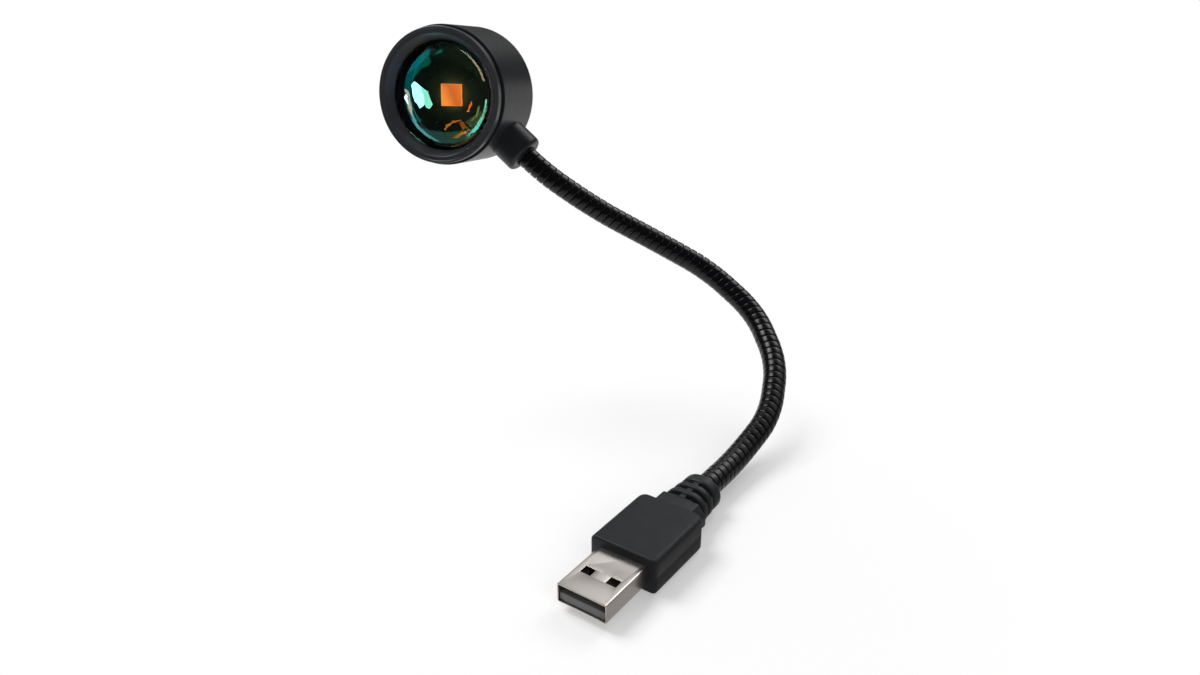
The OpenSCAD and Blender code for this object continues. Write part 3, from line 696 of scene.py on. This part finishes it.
# %% Sizes of the strain relief
RELIEF_START, BLOCK_LENGTH, SLOT, RING, COLLAR = HOUSING_L, 3.8, 1.15, 1.7, 3.3
RING_HEIGHT, RING_WIDTHS = 8.3, (10.8, 10.2, 9.6)
WEB_HALF, SIDE_WEB_HALF, SLOT_REACH = 0.65, 1.45, 9
COLLAR_ROUND, CORE_R, CORE_ENDS = 1, 2.85, (22.0, 32.8)
rings_start = RELIEF_START + BLOCK_LENGTH
relief_end = rings_start + 3 * SLOT + 2 * RING + COLLAR
print("strain relief from", RELIEF_START, "to", round(relief_end, 2), "mm")


# %% Sleeve and block
def oval_loop(width, height, y, steps=20):
    """A stadium: two half circles with straights between them."""
    side = (width - height) / 2
    loop = []
    for end in (1, -1):
        for i in range(steps + 1):
            a = math.radians(-90 + 180 * i / steps)
            loop.append((end * (side + math.cos(a) * height / 2), y,
                         end * math.sin(a) * height / 2))
    return loop


def sleeve():
    """Rows of (distance along the plug, width, height), smaller at each ring's edges."""
    y = rings_start
    rows = [(y - 0.2, 10.4, 7.4), (y, 10.5, 7.5)]
    for width in RING_WIDTHS[:2]:
        y += SLOT
        for step, cut in ((-0.02, 0.75), (0.0, 0.75), (0.12, 0.22), (0.4, 0.0),
                          (RING - 0.4, 0.0), (RING - 0.12, 0.22), (RING, 0.75)):
            rows.append((y + step, width - cut, RING_HEIGHT - cut))
        y += RING
    y += SLOT
    collar = RING_WIDTHS[2]
    rows += [(y + step, collar - cut, RING_HEIGHT - cut)
             for step, cut in ((0.0, 0.75), (0.15, 0.25), (0.45, 0.0), (1.4, 0.0))]
    for a in range(0, 91, 15):
        cut = 2 * COLLAR_ROUND * (1 - math.cos(math.radians(a)))
        end = relief_end - COLLAR_ROUND + COLLAR_ROUND * math.sin(math.radians(a))
        rows.append((end, collar - cut, RING_HEIGHT - cut))
    return skinned("relief_sleeve", [oval_loop(w, h, at) for at, w, h in rows], sharp=50)


def relief_block():
    """The chamfered block, from inside the housing to the first slot."""
    w, h, chamfer_w, chamfer_h, soft = 6.4, 3.7, 1.9, 2.6, 0.5
    quarter = [(w, h - chamfer_h), (w - chamfer_w, h)]
    outline = (quarter + [(-x, z) for x, z in reversed(quarter)]
               + [(-x, -z) for x, z in quarter] + [(x, -z) for x, z in reversed(quarter)])
    loops = []
    for y, inset in ((19.0, 0.0), (22.8, 0.0), (23.0, 0.05), (23.12, 0.15), (23.2, 0.35)):
        scale_x, scale_z = 1 - inset / w, 1 - inset / h
        loops.append([(p.x * scale_x, y, p.y * scale_z)
                      for p in rounded([(*corner, soft) for corner in outline], 4)])
    return skinned("relief_block", loops, sharp=50)


# %% Cut the slots and join
relief = sleeve()
slots = []
for row in range(3):
    y = rings_start + row * (SLOT + RING)
    start = y + (0.0 if row else 0.02)
    for sx in (-1, 1):
        for sz in (-1, 1):
            xs = sorted((sx * WEB_HALF, sx * SLOT_REACH))
            zs = sorted((sz * SIDE_WEB_HALF, sz * SLOT_REACH))
            slots.append(soft_box(f"slot_{row}_{sx}_{sz}", (xs[0], start, zs[0]),
                                  (xs[1], y + SLOT, zs[1]), 0.1))
cut_out(relief, "slots", slots)
core = skinned("relief_core", [[(x, y, z) for x, z in circle(CORE_R, 32)] for y in CORE_ENDS])
relief = joined("relief", [relief, relief_block(), core])
relief.data.set_sharp_from_angle(angle=math.radians(40))
finish_piece(relief, "plug", "relief", SOFT_BLACK, "strain_relief")

# %% [markdown]
# ## Head
# The head is a turned cup. A groove separates its front edge from the bezel, whose flat lip has a
# small step in it. Inside the lip a dark cone leads down to the lens, where a thin bare rim shows.
# All of these are one turning each, so each is an outline turned round the head's axis.

# %% Where the head is
# How far the head is turned about the neck's end, and its radius, its socket's length and its
# front, from its middle
HEAD_TURN, HEAD_R, SOCKET_L, FRONT = 128.2, 17.95, 6.4, 14.4
NECK_END = HEAD_R + SOCKET_L
head_place = (frames[-1] @ Matrix.Rotation(math.radians(HEAD_TURN), 4, "Z")
              @ Matrix.Translation((0, 0, NECK_END)) @ Matrix.Rotation(math.pi / 2, 4, "Y"))
head_place.translation *= MM
socket_place = head_place @ Matrix.Rotation(math.pi / 2, 4, "Y")
print("head at", [round(c / MM, 1) for c in head_place.translation])


# %% Head shell
def outline_of(corners, steps):
    """A rounded outline as plain (radius, height) pairs."""
    return [tuple(p) for p in rounded(corners, steps)]


REAR, BODY_FRONT = FRONT - 21.4, FRONT - 2.7
INNER_REAR, BORE = REAR + 2.2, HEAD_R - 1.8
# A hair under the solid's radius, because more sides reach further out
CUP_R = HEAD_R - 0.03
NEAR_AXIS = 0.01
cup = turned("head_cup", [(0, REAR)] + outline_of([
    (NEAR_AXIS, REAR, 0), (CUP_R, REAR, 0.9), (CUP_R, BODY_FRONT, 0.22), (BORE, BODY_FRONT, 0),
    (BORE, INNER_REAR, 0), (NEAR_AXIS, INNER_REAR, 0)], 5) + [(0, INNER_REAR)], head_place)
finish_piece(cup, "head", "head", ANODISED, "head_body")

# %% Bezel
GLASS_EDGE = FRONT - 3.1
LIP_R, GROOVE_R, STEP_R, CONE_R, CLEAR_R, SEAT_R = 17.38, 16.5, 16.65, 14.2, 14.03, 14.65
BEZEL_REAR, BEZEL_R = BODY_FRONT - 5.4, BORE - 0.05
bezel = turned("bezel", outline_of([
    (LIP_R, FRONT, 0.3), (STEP_R + 0.1, FRONT, 0.05), (STEP_R, FRONT - 0.12, 0.05),
    (15.6, FRONT - 0.12, 0.15), (CONE_R, GLASS_EDGE + 0.5, 0.05),
    (CLEAR_R, GLASS_EDGE + 0.5, 0.05), (CLEAR_R, GLASS_EDGE + 0.05, 0),
    (SEAT_R, GLASS_EDGE + 0.05, 0), (SEAT_R, BEZEL_REAR, 0), (BEZEL_R, BEZEL_REAR, 0),
    (BEZEL_R, BODY_FRONT, 0), (GROOVE_R, BODY_FRONT + 0.05, 0.0), (GROOVE_R, FRONT - 1.9, 0.05),
    (LIP_R, FRONT - 1.9, 0.1)], 4), head_place)
finish_piece(bezel, "head", "bezel", BEZEL_BLACK, "bezel_ring")
bezel.data.materials.append(RIM_BRASS)
to_head = head_place.inverted()
rim_faces = 0
for face in bezel.data.polygons:
    spot = to_head @ face.center / MM
    if math.hypot(spot.x, spot.y) < CONE_R + 0.05 and spot.z > GLASS_EDGE + 0.06:
        face.material_index = 1
        rim_faces += 1
print(rim_faces, "faces in the bare rim round the glass")

# %% Socket
SOCKET_R, SOCKET_SPIGOT_R, SOCKET_BORE_R = 5.45, 4.05, 3.1
SOCKET_START, SOCKET_FLOOR = 15.5, NECK_END - 3
socket = turned("socket", [(0, SOCKET_START)] + outline_of([
    (NEAR_AXIS, SOCKET_START, 0), (SOCKET_SPIGOT_R, SOCKET_START, 0),
    (SOCKET_SPIGOT_R, 16.2, 0), (SOCKET_R, 16.2, 0), (SOCKET_R, NECK_END, 1.1),
    (SOCKET_BORE_R, NECK_END, 0.2), (SOCKET_BORE_R, SOCKET_FLOOR, 0),
    (NEAR_AXIS, SOCKET_FLOOR, 0)], 6) + [(0, SOCKET_FLOOR)], socket_place, steps=96)
finish_piece(socket, "head", "head", ANODISED, "neck_socket")

# %% [markdown]
# ## Lens
# The lens is thick glass, flat behind and domed in front, so it is one more turning. The dome ends
# in a narrow upturned edge, polished like the rest, which gathers light into thin crescents. The
# glass has an interference coating, a film thinner than a wavelength of light. It could be
# painted on as a gradient, but then it wouldn't change as the lamp is turned. The shader's thin
# film works as the real one does, and gives each reflection its teal, green or amber.

# %% Lens
LENS_CURVE, LENS_R, LENS_THICK = 26.0, 14.6, 3.0
EDGE_IN, EDGE_OUT, EDGE_STEPS = 13.0, 13.95, 12


def dome(r):
    """How far the dome has fallen, at a radius r."""
    return LENS_CURVE - math.sqrt(LENS_CURVE ** 2 - r ** 2)


LENS_TOP = GLASS_EDGE + dome(14.0)
lens_back = LENS_TOP - dome(LENS_R) - LENS_THICK
slope = math.asin(EDGE_IN / LENS_CURVE)
upturned, height = [], LENS_TOP - dome(EDGE_IN)
for i in range(EDGE_STEPS):
    flatter = math.tan(slope * (1 - (i + 0.5) / EDGE_STEPS))
    height -= flatter * (EDGE_OUT - EDGE_IN) / EDGE_STEPS
    upturned.append((EDGE_IN + (EDGE_OUT - EDGE_IN) * (i + 1) / EDGE_STEPS, height))
lens_front = [(LENS_R, GLASS_EDGE - 0.1), (EDGE_OUT, GLASS_EDGE - 0.1)] + upturned[::-1]
lens_front += [(EDGE_IN * i / 36, LENS_TOP - dome(EDGE_IN * i / 36)) for i in range(36, 0, -1)]
glass = turned("lens_glass", [
    (0, lens_back), (0.3, lens_back), (LENS_R - 0.2, lens_back), (LENS_R, lens_back + 0.2)]
    + lens_front + [(0, LENS_TOP)], head_place, steps=192, sharp=40)
COATED_GLASS = finish("coated_glass", (0.66, 0.92, 0.80), 0.0, Transmission_Weight=1.0, IOR=1.52,
                      Thin_Film_Thickness=406.0, Thin_Film_IOR=1.38)
finish_piece(glass, "head", "lens", COATED_GLASS, "lens")

# %% [markdown]
# ## Light source
# The square chip glows orange through its phosphor, on its front only. It isn't evenly bright:
# a soft slant and a little cloud run across it, and its rim is brighter. These are measured from
# the chip's middle, across it and down it. The black board round it has a painted glow: its own
# emission stands in for the chip's light on it, and fades out within a few millimetres.

# %% Helpers for the glow
CHIP_TURN = math.radians(49.5)
turn_cos, turn_sin = math.cos(CHIP_TURN), math.sin(CHIP_TURN)
chip_across = (head_place.col[1] * -turn_cos + head_place.col[0] * turn_sin).to_3d()
chip_down = (head_place.col[0] * turn_cos + head_place.col[1] * turn_sin).to_3d()
chip_middle = sum((Vector(c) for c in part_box("led_emitter")), Vector()) / 2


def from_chip(tree, direction=None):
    """How far a point lies from the chip's middle, in mm, at all or along a direction."""
    away = put(tree, "ShaderNodeVectorMath", {0: coordinates(tree), 1: chip_middle},
               operation="SUBTRACT").outputs[0]
    if direction is None:
        metres = put(tree, "ShaderNodeVectorMath", {0: away}, operation="LENGTH").outputs[1]
    else:
        metres = put(tree, "ShaderNodeVectorMath", {0: away, 1: direction},
                     operation="DOT_PRODUCT").outputs[1]
    return calc(tree, "MULTIPLY", metres, 1000.0)


def ramp(tree, value, stops):
    """A colour for each value, through stops of (value, colour)."""
    node = put(tree, "ShaderNodeValToRGB", {"Fac": value})
    while len(node.color_ramp.elements) < len(stops):
        node.color_ramp.elements.new(0.5)
    for element, (position, colour) in zip(node.color_ramp.elements, stops):
        element.position, element.color = position, (*colour, 1)
    return node.outputs["Color"]


# %% The chip's glow and the board's painted glow
def glow():
    """Phosphor: bright at the rim, and from the left edge darker towards the right."""
    material = finish("orange_glow", (0.22, 0.05, 0.01), 0.5)
    tree = material.node_tree
    shader = tree.nodes["Principled BSDF"]
    across, down = from_chip(tree, chip_across), from_chip(tree, chip_down)
    slant = calc(tree, "ADD", calc(tree, "MULTIPLY", across, 0.16),
                 calc(tree, "MULTIPLY", down, -0.10))
    cloud = put(tree, "ShaderNodeTexNoise", {
        "Vector": coordinates(tree), "Scale": 260.0, "Detail": 1.0}).outputs[0]
    level = calc(tree, "ADD", calc(tree, "ADD", slant, 0.30), calc(tree, "MULTIPLY", cloud, 0.40))
    body = ramp(tree, level, [(0.10, (1.0, 0.21, 0.030)), (0.5, (0.66, 0.085, 0.013)),
                              (0.95, (0.84, 0.125, 0.019))])
    rim = calc(tree, "MAXIMUM", calc(tree, "ABSOLUTE", across), calc(tree, "ABSOLUTE", down))
    rim = put(tree, "ShaderNodeMapRange",
              {"Value": rim, "From Min": 2.28, "From Max": 2.38}).outputs[0]
    both = put(tree, "ShaderNodeMix", {"Factor": rim, "A": body, "B": (1.0, 0.27, 0.045, 1)},
               data_type="RGBA")
    up = put(tree, "ShaderNodeVectorMath", {
        0: coordinates(tree, "Normal"), 1: head_place.col[2].to_3d()},
        operation="DOT_PRODUCT").outputs[1]
    front = put(tree, "ShaderNodeMix", {
        "Factor": calc(tree, "GREATER_THAN", up, 0.5), "A": (0.05, 0.006, 0.001, 1),
        "B": both.outputs["Result"]}, data_type="RGBA")
    tree.links.new(front.outputs["Result"], shader.inputs["Emission Color"])
    shader.inputs["Emission Strength"].default_value = 1.4
    return material


def painted_glow_board():
    """The black board, with a painted glow of the chip's light fading out across it."""
    material = BOARD.copy()
    material.name = "board_painted_glow"
    tree = material.node_tree
    shader = tree.nodes["Principled BSDF"]
    # Painted light: an emission on the board, brightest by the chip and gone 7 mm away
    fade = put(tree, "ShaderNodeMapRange", {"Value": from_chip(tree), "From Min": 2.0,
                                            "From Max": 7.0, "To Min": 1.0, "To Max": 0.0})
    colour = ramp(tree, calc(tree, "POWER", fade.outputs[0], 1.6), [
        (0.0, (0.001, 0.002, 0.0015)), (0.45, (0.010, 0.009, 0.004)), (1.0, (0.07, 0.055, 0.022))])
    tree.links.new(colour, shader.inputs["Emission Color"])
    shader.inputs["Emission Strength"].default_value = 1.0
    return material


GLOW, PAINTED_GLOW_BOARD = glow(), painted_glow_board()
print("glow:", len(GLOW.node_tree.nodes), "nodes, board:", len(PAINTED_GLOW_BOARD.node_tree.nodes))

# %% [markdown]
# ### The chip and the hidden pieces
# The chip is a thin slab with soft edges. It stands where the solid does and its front shows as
# the square behind the lens. Everything else inside keeps its solid's shape, because nothing of
# it can be seen from close by, and gets the finish that such a piece has.

# %% Chip and hidden pieces
CHIP_W, CHIP_H, CHIP_THICK = 5.0, 4.8, 0.55
chip_back = min((to_head @ v.co).z / MM for v in nodes["led_emitter"].data.vertices)
chip = soft_box("chip", (-CHIP_W / 2, -CHIP_H / 2, chip_back),
                (CHIP_W / 2, CHIP_H / 2, chip_back + CHIP_THICK), 0.06)
chip.data.transform(head_place @ Matrix.Rotation(CHIP_TURN - math.pi / 2, 4, "Z"))
# The neck's frames are left-handed, so this move turns a finished mesh inside out
if head_place.determinant() < 0:
    chip.data.flip_normals()
finish_piece(chip, "head", "emitter", GLOW, "led_emitter")
# The board, its resistor and its screws all carry the painted glow of the chip's light
HIDDEN = {"led_board": PAINTED_GLOW_BOARD, "led_resistor": PAINTED_GLOW_BOARD, "board_screws": PAINTED_GLOW_BOARD,
          "heat_sink": BARE_METAL, "spacer_tube": DARK_TUBE, "neck_bush": SOFT_BLACK,
          "inner_mould": WHITE_PLASTIC, "plug_leads": LEAD_RED, "head_leads": LEAD_BLACK,
          **{f"neck_leads_{k}": LEAD_RED for k in range(1, len(BENDS) + 1)}}
for name, material in HIDDEN.items():
    nodes[name].data.materials.clear()
    nodes[name].data.materials.append(material)
print(len(HIDDEN), "hidden pieces have their finishes")

# %% [markdown]
# ## Stage
# The lamp lies on a pale floor that passes into a white backdrop. The floor could be one matt
# sheet, but its far end would then turn grey. So close to the plug it mostly takes light and
# shadow as paper does, and further out its own even white takes over, for the rays that look at
# it straight on, in a mirror or through glass. The light that it throws back on the lamp stays
# that of paper.

# %% Floor
FLOOR_LEVEL, FLOOR_REACH = -4.28 * MM, 3.0
SHADOW_MIDDLE, SHADOW_NEAR, SHADOW_FAR = (0.004, 0.015, FLOOR_LEVEL), 0.028, 0.085


def any_of(tree, *rays):
    """1 for a ray of any of these kinds, otherwise 0."""
    path = tree.nodes.new("ShaderNodeLightPath").outputs
    value = path[rays[0]]
    for ray in rays[1:]:
        value = calc(tree, "MAXIMUM", value, path[ray])
    return value


def stage_floor():
    corners = [(x * FLOOR_REACH, y * FLOOR_REACH, FLOOR_LEVEL)
               for x, y in ((-1, -1), (1, -1), (1, 1), (-1, 1))]
    floor = in_scene("floor", plain_mesh("floor", corners, [], [(0, 1, 2, 3)]))
    material, tree, paper = new_material("pale_floor")
    paper.inputs["Base Color"].default_value = (0.97, 0.97, 0.97, 1)
    paper.inputs["Roughness"].default_value = 0.9
    white = put(tree, "ShaderNodeEmission", {"Color": (1, 1, 1, 1)})
    away = put(tree, "ShaderNodeVectorMath", {0: coordinates(tree), 1: SHADOW_MIDDLE},
               operation="DISTANCE").outputs["Value"]
    share = put(tree, "ShaderNodeMapRange", {
        "Value": away, "From Min": SHADOW_NEAR, "From Max": SHADOW_FAR,
        "To Min": 0.28, "To Max": 1.0}, interpolation_type="SMOOTHSTEP").outputs[0]
    straight = any_of(tree, "Is Camera Ray", "Is Glossy Ray", "Is Transmission Ray")
    mix = put(tree, "ShaderNodeMixShader", {
        0: calc(tree, "MULTIPLY", straight, share), 1: paper.outputs[0], 2: white.outputs[0]})
    tree.links.new(mix.outputs[0], tree.nodes["Material Output"].inputs["Surface"])
    floor.data.materials.append(material)
    return floor


print("floor at", stage_floor().data.vertices[0].co.z / MM, "mm")

# %% [markdown]
# ## Lamps
# Three soft lights shine on the object: the main one high on the left, one behind for the upper
# edges, and a weak one on the right that no shiny piece mirrors, so that it only opens the
# shadows. Broad ones are used, because a small lamp would draw hard shadows and white dots.


# %% Lamps
def soft_light(name, place, width, height, power, mirrored=True):
    """A rectangle of light that faces the middle of the object."""
    lamp = bpy.data.lights.new(name, "AREA")
    lamp.shape, lamp.size, lamp.size_y, lamp.energy = "RECTANGLE", width, height, power
    holder = in_scene(name, lamp)
    holder.location = place
    towards = Vector((-0.03, 0.03, 0.03)) - Vector(place)
    holder.rotation_euler = towards.to_track_quat("-Z", "Y").to_euler()
    holder.visible_glossy = mirrored


soft_light("key_light", (-0.60, -0.05, 0.85), 0.5, 0.5, 6.6)
soft_light("back_light", (0.05, 0.85, 0.75), 0.5, 0.5, 2.2)
soft_light("right_light", (0.75, -0.35, 0.6), 0.4, 0.6, 2.0, mirrored=False)
print(len(bpy.data.lights), "lamps")

# %% [markdown]
# ## Cards for the lens
# What shows in a polished dome is what stands in front of it: windows, lamps and walls. In a
# studio these are cards, and where they stand decides where they show. Each card here is drawn as
# its outline on the glass, and every corner is then sent off along the direction in which the
# dome mirrors the camera. The coating colours what comes back, so most cards need only a little
# colour of their own. They shine on the lens alone, so the other surfaces keep their plain light.
#
# A black card keeps the white floor out of the lens and the neck, as black velvet does in a
# studio, and a grey one keeps it out of the plug's right flank. The camera sees no card.

# %% Helpers for cards
for_the_lens = bpy.data.collections.new("for_the_lens")
for_the_lens.objects.link(glass)


def glossy_sheet(name, points, colour, strength, lens_only=True):
    """A glowing or black card that shows only as a reflection, in the lens or everywhere."""
    sheet = in_scene(name, plain_mesh(name, points, [], [tuple(range(len(points)))]))
    material, tree, shader = new_material(name)
    tree.nodes.remove(shader)
    light = put(tree, "ShaderNodeEmission", {"Color": (*colour, 1), "Strength": strength})
    tree.links.new(light.outputs[0], tree.nodes["Material Output"].inputs["Surface"])
    sheet.data.materials.append(material)
    sheet.visible_camera = sheet.visible_diffuse = sheet.visible_shadow = False
    sheet.visible_transmission = sheet.visible_volume_scatter = False
    if lens_only:
        sheet.light_linking.receiver_collection = for_the_lens
    return sheet


def mirrored_spot(x, y, reach):
    """The point that the camera sees mirrored at (x, y) on the dome, kept above the floor."""
    on_dome = Vector((x, y, LENS_TOP - dome(math.hypot(x, y))))
    spot = head_place @ (on_dome * MM)
    facing = (head_place.to_3x3() @ (on_dome - Vector((0, 0, LENS_TOP - LENS_CURVE)))).normalized()
    way = (spot - CAMERA_PLACE).normalized().reflect(facing)
    if way.z < -0.01:
        reach = min(reach, 0.97 * (spot.z + 4.2 * MM) / -way.z)
    return spot + way * reach


# %% Cards round the dome
AMBER = (1.0, 0.15, 0.02)
# name: (distance in metres, colour, strength, outline on the glass in mm from its middle)
CARDS = {
    "window_bright": (0.4, (1.0, 0.74, 0.80), 60, [
        (-7.5, 1.6), (-5.2, 1.2), (-2.7, 2.4), (-1.0, 4.1), (-1.7, 5.8), (-4.2, 5.4),
        (-6.2, 4.3), (-7.3, 3.0)]),
    "window_dim": (0.4, (0.75, 0.80, 0.85), 24, [
        (-5.2, 1.2), (-2.4, 0.6), (0.9, 2.3), (0.6, 4.0), (-0.1, 4.3), (-1.0, 4.1),
        (-2.7, 2.4)]),
    "wide_teal": (0.9, (0.0, 1.0, 0.70), 1.6, [
        (-10.1, -7.1), (-12.3, -1.1), (-11.6, 4.2), (-9.4, 7.9), (-6.2, 10.7), (-2.1, 12.1),
        (0.7, 8.0), (-2.7, 7.5), (-5.1, 6.1), (-6.9, 4.0), (-7.9, 1.4), (-7.9, -1.4),
        (-6.5, -5.0)]),
    "tall_teal": (0.5, (0.0, 0.75, 0.60), 4, [
        (-9.4, -7.5), (-10.9, -4.4), (-11.1, -1.1), (-10.9, 1.4), (-10.8, 5.1), (-10.4, 5.4),
        (-10.6, 2.4), (-9.8, 0.0), (-9.0, -2.7), (-8.7, -5.5)]),
    "small_teal": (0.5, (0.0, 0.8, 0.7), 4, [
        (-7.6, -7.4), (-7.0, -9.1), (-6.4, -9.2), (-6.3, -9.0), (-7.0, -7.5)]),
    "warm": (0.3, (1.0, 0.28, 0.15), 34, [
        (-8.7, 5.4), (-9.0, 7.1), (-7.4, 8.9), (-5.6, 10.4), (-3.6, 11.0), (-2.6, 9.2),
        (-3.6, 7.6), (-5.2, 6.3), (-7.0, 5.0)]),
    "warm_core": (0.25, (1.0, 0.62, 0.45), 75, [
        (-7.7, 6.2), (-7.0, 8.0), (-5.3, 9.6), (-4.4, 9.3), (-5.6, 7.6), (-6.8, 6.2)]),
    "low": (0.3, (0.95, 1.0, 0.72), 7, [
        (-5.2, 9.6), (-3.6, 11.9), (-0.5, 12.9), (3.0, 12.7), (6.0, 11.5), (9.0, 9.2),
        (6.0, 9.7), (3.0, 10.1), (0.0, 9.9), (-2.6, 8.7)]),
    "upper": (0.6, (1.0, 0.62, 1.0), 11, [
        (-5.5, -11.9), (-1.0, -12.7), (3.0, -12.2), (7.0, -10.7), (8.8, -10.3), (5.5, -12.6),
        (1.0, -13.8), (-3.5, -13.3)]),
    "right_teal": (0.3, (0.15, 0.52, 1.0), 26, [
        (10.3, -9.0), (12.6, -4.8), (13.1, -0.6), (12.0, 4.2), (12.2, -0.3), (11.9, -4.2),
        (10.1, -7.4)]),
    "right_green": (0.3, (0.5, 0.70, 0.30), 6, [
        (9.8, -5.3), (10.3, -5.6), (11.2, -3.5), (10.9, -1.0), (10.7, -3.4)]),
    "amber_streak": (0.3, AMBER, 24, [
        (8.7, -2.2), (8.4, -3.4), (7.9, -5.2), (8.2, -5.3), (8.7, -3.9), (9.0, -2.3)]),
    "amber_edge": (0.3, AMBER, 18, [
        (6.5, 5.4), (6.6, 3.9), (7.3, 2.0), (8.6, 0.4), (8.9, 0.6), (7.8, 2.2), (7.1, 4.2),
        (7.2, 5.6), (7.0, 5.8)]),
    "amber_block": (0.3, AMBER, 8, [
        (8.7, 1.2), (9.4, 0.4), (10.7, 1.1), (10.7, 2.5), (9.7, 2.0)]),
    "amber_low": (0.3, AMBER, 18, [
        (9.8, 5.4), (10.4, 3.3), (11.3, 2.0), (11.5, 2.5), (10.7, 4.3), (10.4, 5.6)]),
}
for name, (reach, colour, strength, outline) in CARDS.items():
    glossy_sheet(name, [mirrored_spot(x, y, reach) for x, y in outline], colour, strength)
print(len(CARDS), "cards for the lens")

# %% Cards on the floor
CARD_LEVEL = -4.1 * MM
BLACK_CARD = [(-3, -3), (3, -3), (3, -0.6), (0.2, -0.3), (-0.02, -0.12), (-0.02, -0.06),
              (-3, -0.02)]
GREY_CARD = [(0.003, -0.03), (0.6, -0.03), (0.6, 0.6), (0.006, 0.6), (0.006, 0.0), (0.003, 0.0)]
black_card = glossy_sheet("black_card", [(x, y, CARD_LEVEL) for x, y in BLACK_CARD],
                          (0, 0, 0), 0, lens_only=False)
black_card.visible_transmission = True
glossy_sheet("grey_card", [(x, y, CARD_LEVEL) for x, y in GREY_CARD],
             (0.38, 0.37, 0.36), 1, lens_only=False)
print("a black and a grey card on the floor")


# %% [markdown]
# ## The room
# The room's own light is soft and even on matt surfaces. In shiny ones it is dark in front, which
# keeps them black, and bright behind and above, which draws the light edges. Where the camera
# looks past the object, the room is white.

# %% The room
def dim_room(even, front, back):
    world = bpy.data.worlds.new("room")
    world.use_nodes = True
    tree = world.node_tree
    way = put(tree, "ShaderNodeSeparateXYZ", {0: coordinates(tree, "Generated")}).outputs
    behind = put(tree, "ShaderNodeMapRange", {
        "Value": way[1], "From Min": 0.3, "From Max": 0.6}).outputs[0]
    above = put(tree, "ShaderNodeMapRange", {
        "Value": way[2], "From Min": 0.2, "From Max": 0.5}).outputs[0]
    shown = put(tree, "ShaderNodeMapRange", {
        "Value": calc(tree, "MULTIPLY", behind, above), "To Min": front, "To Max": back}).outputs[0]
    shiny = any_of(tree, "Is Glossy Ray", "Is Transmission Ray")
    level = calc(tree, "ADD", calc(tree, "MULTIPLY", shiny, shown),
                 calc(tree, "MULTIPLY", calc(tree, "SUBTRACT", 1.0, shiny), even))
    level = calc(tree, "MAXIMUM", level, any_of(tree, "Is Camera Ray"))
    background = tree.nodes["Background"]
    tree.links.new(level, background.inputs["Strength"])
    background.inputs["Color"].default_value = (1, 1, 1, 1)
    bpy.context.scene.world = world


dim_room(even=0.36, front=0.03, back=0.90)
bpy.context.scene.view_settings.view_transform = "Standard"
print("view transform:", bpy.context.scene.view_settings.view_transform)
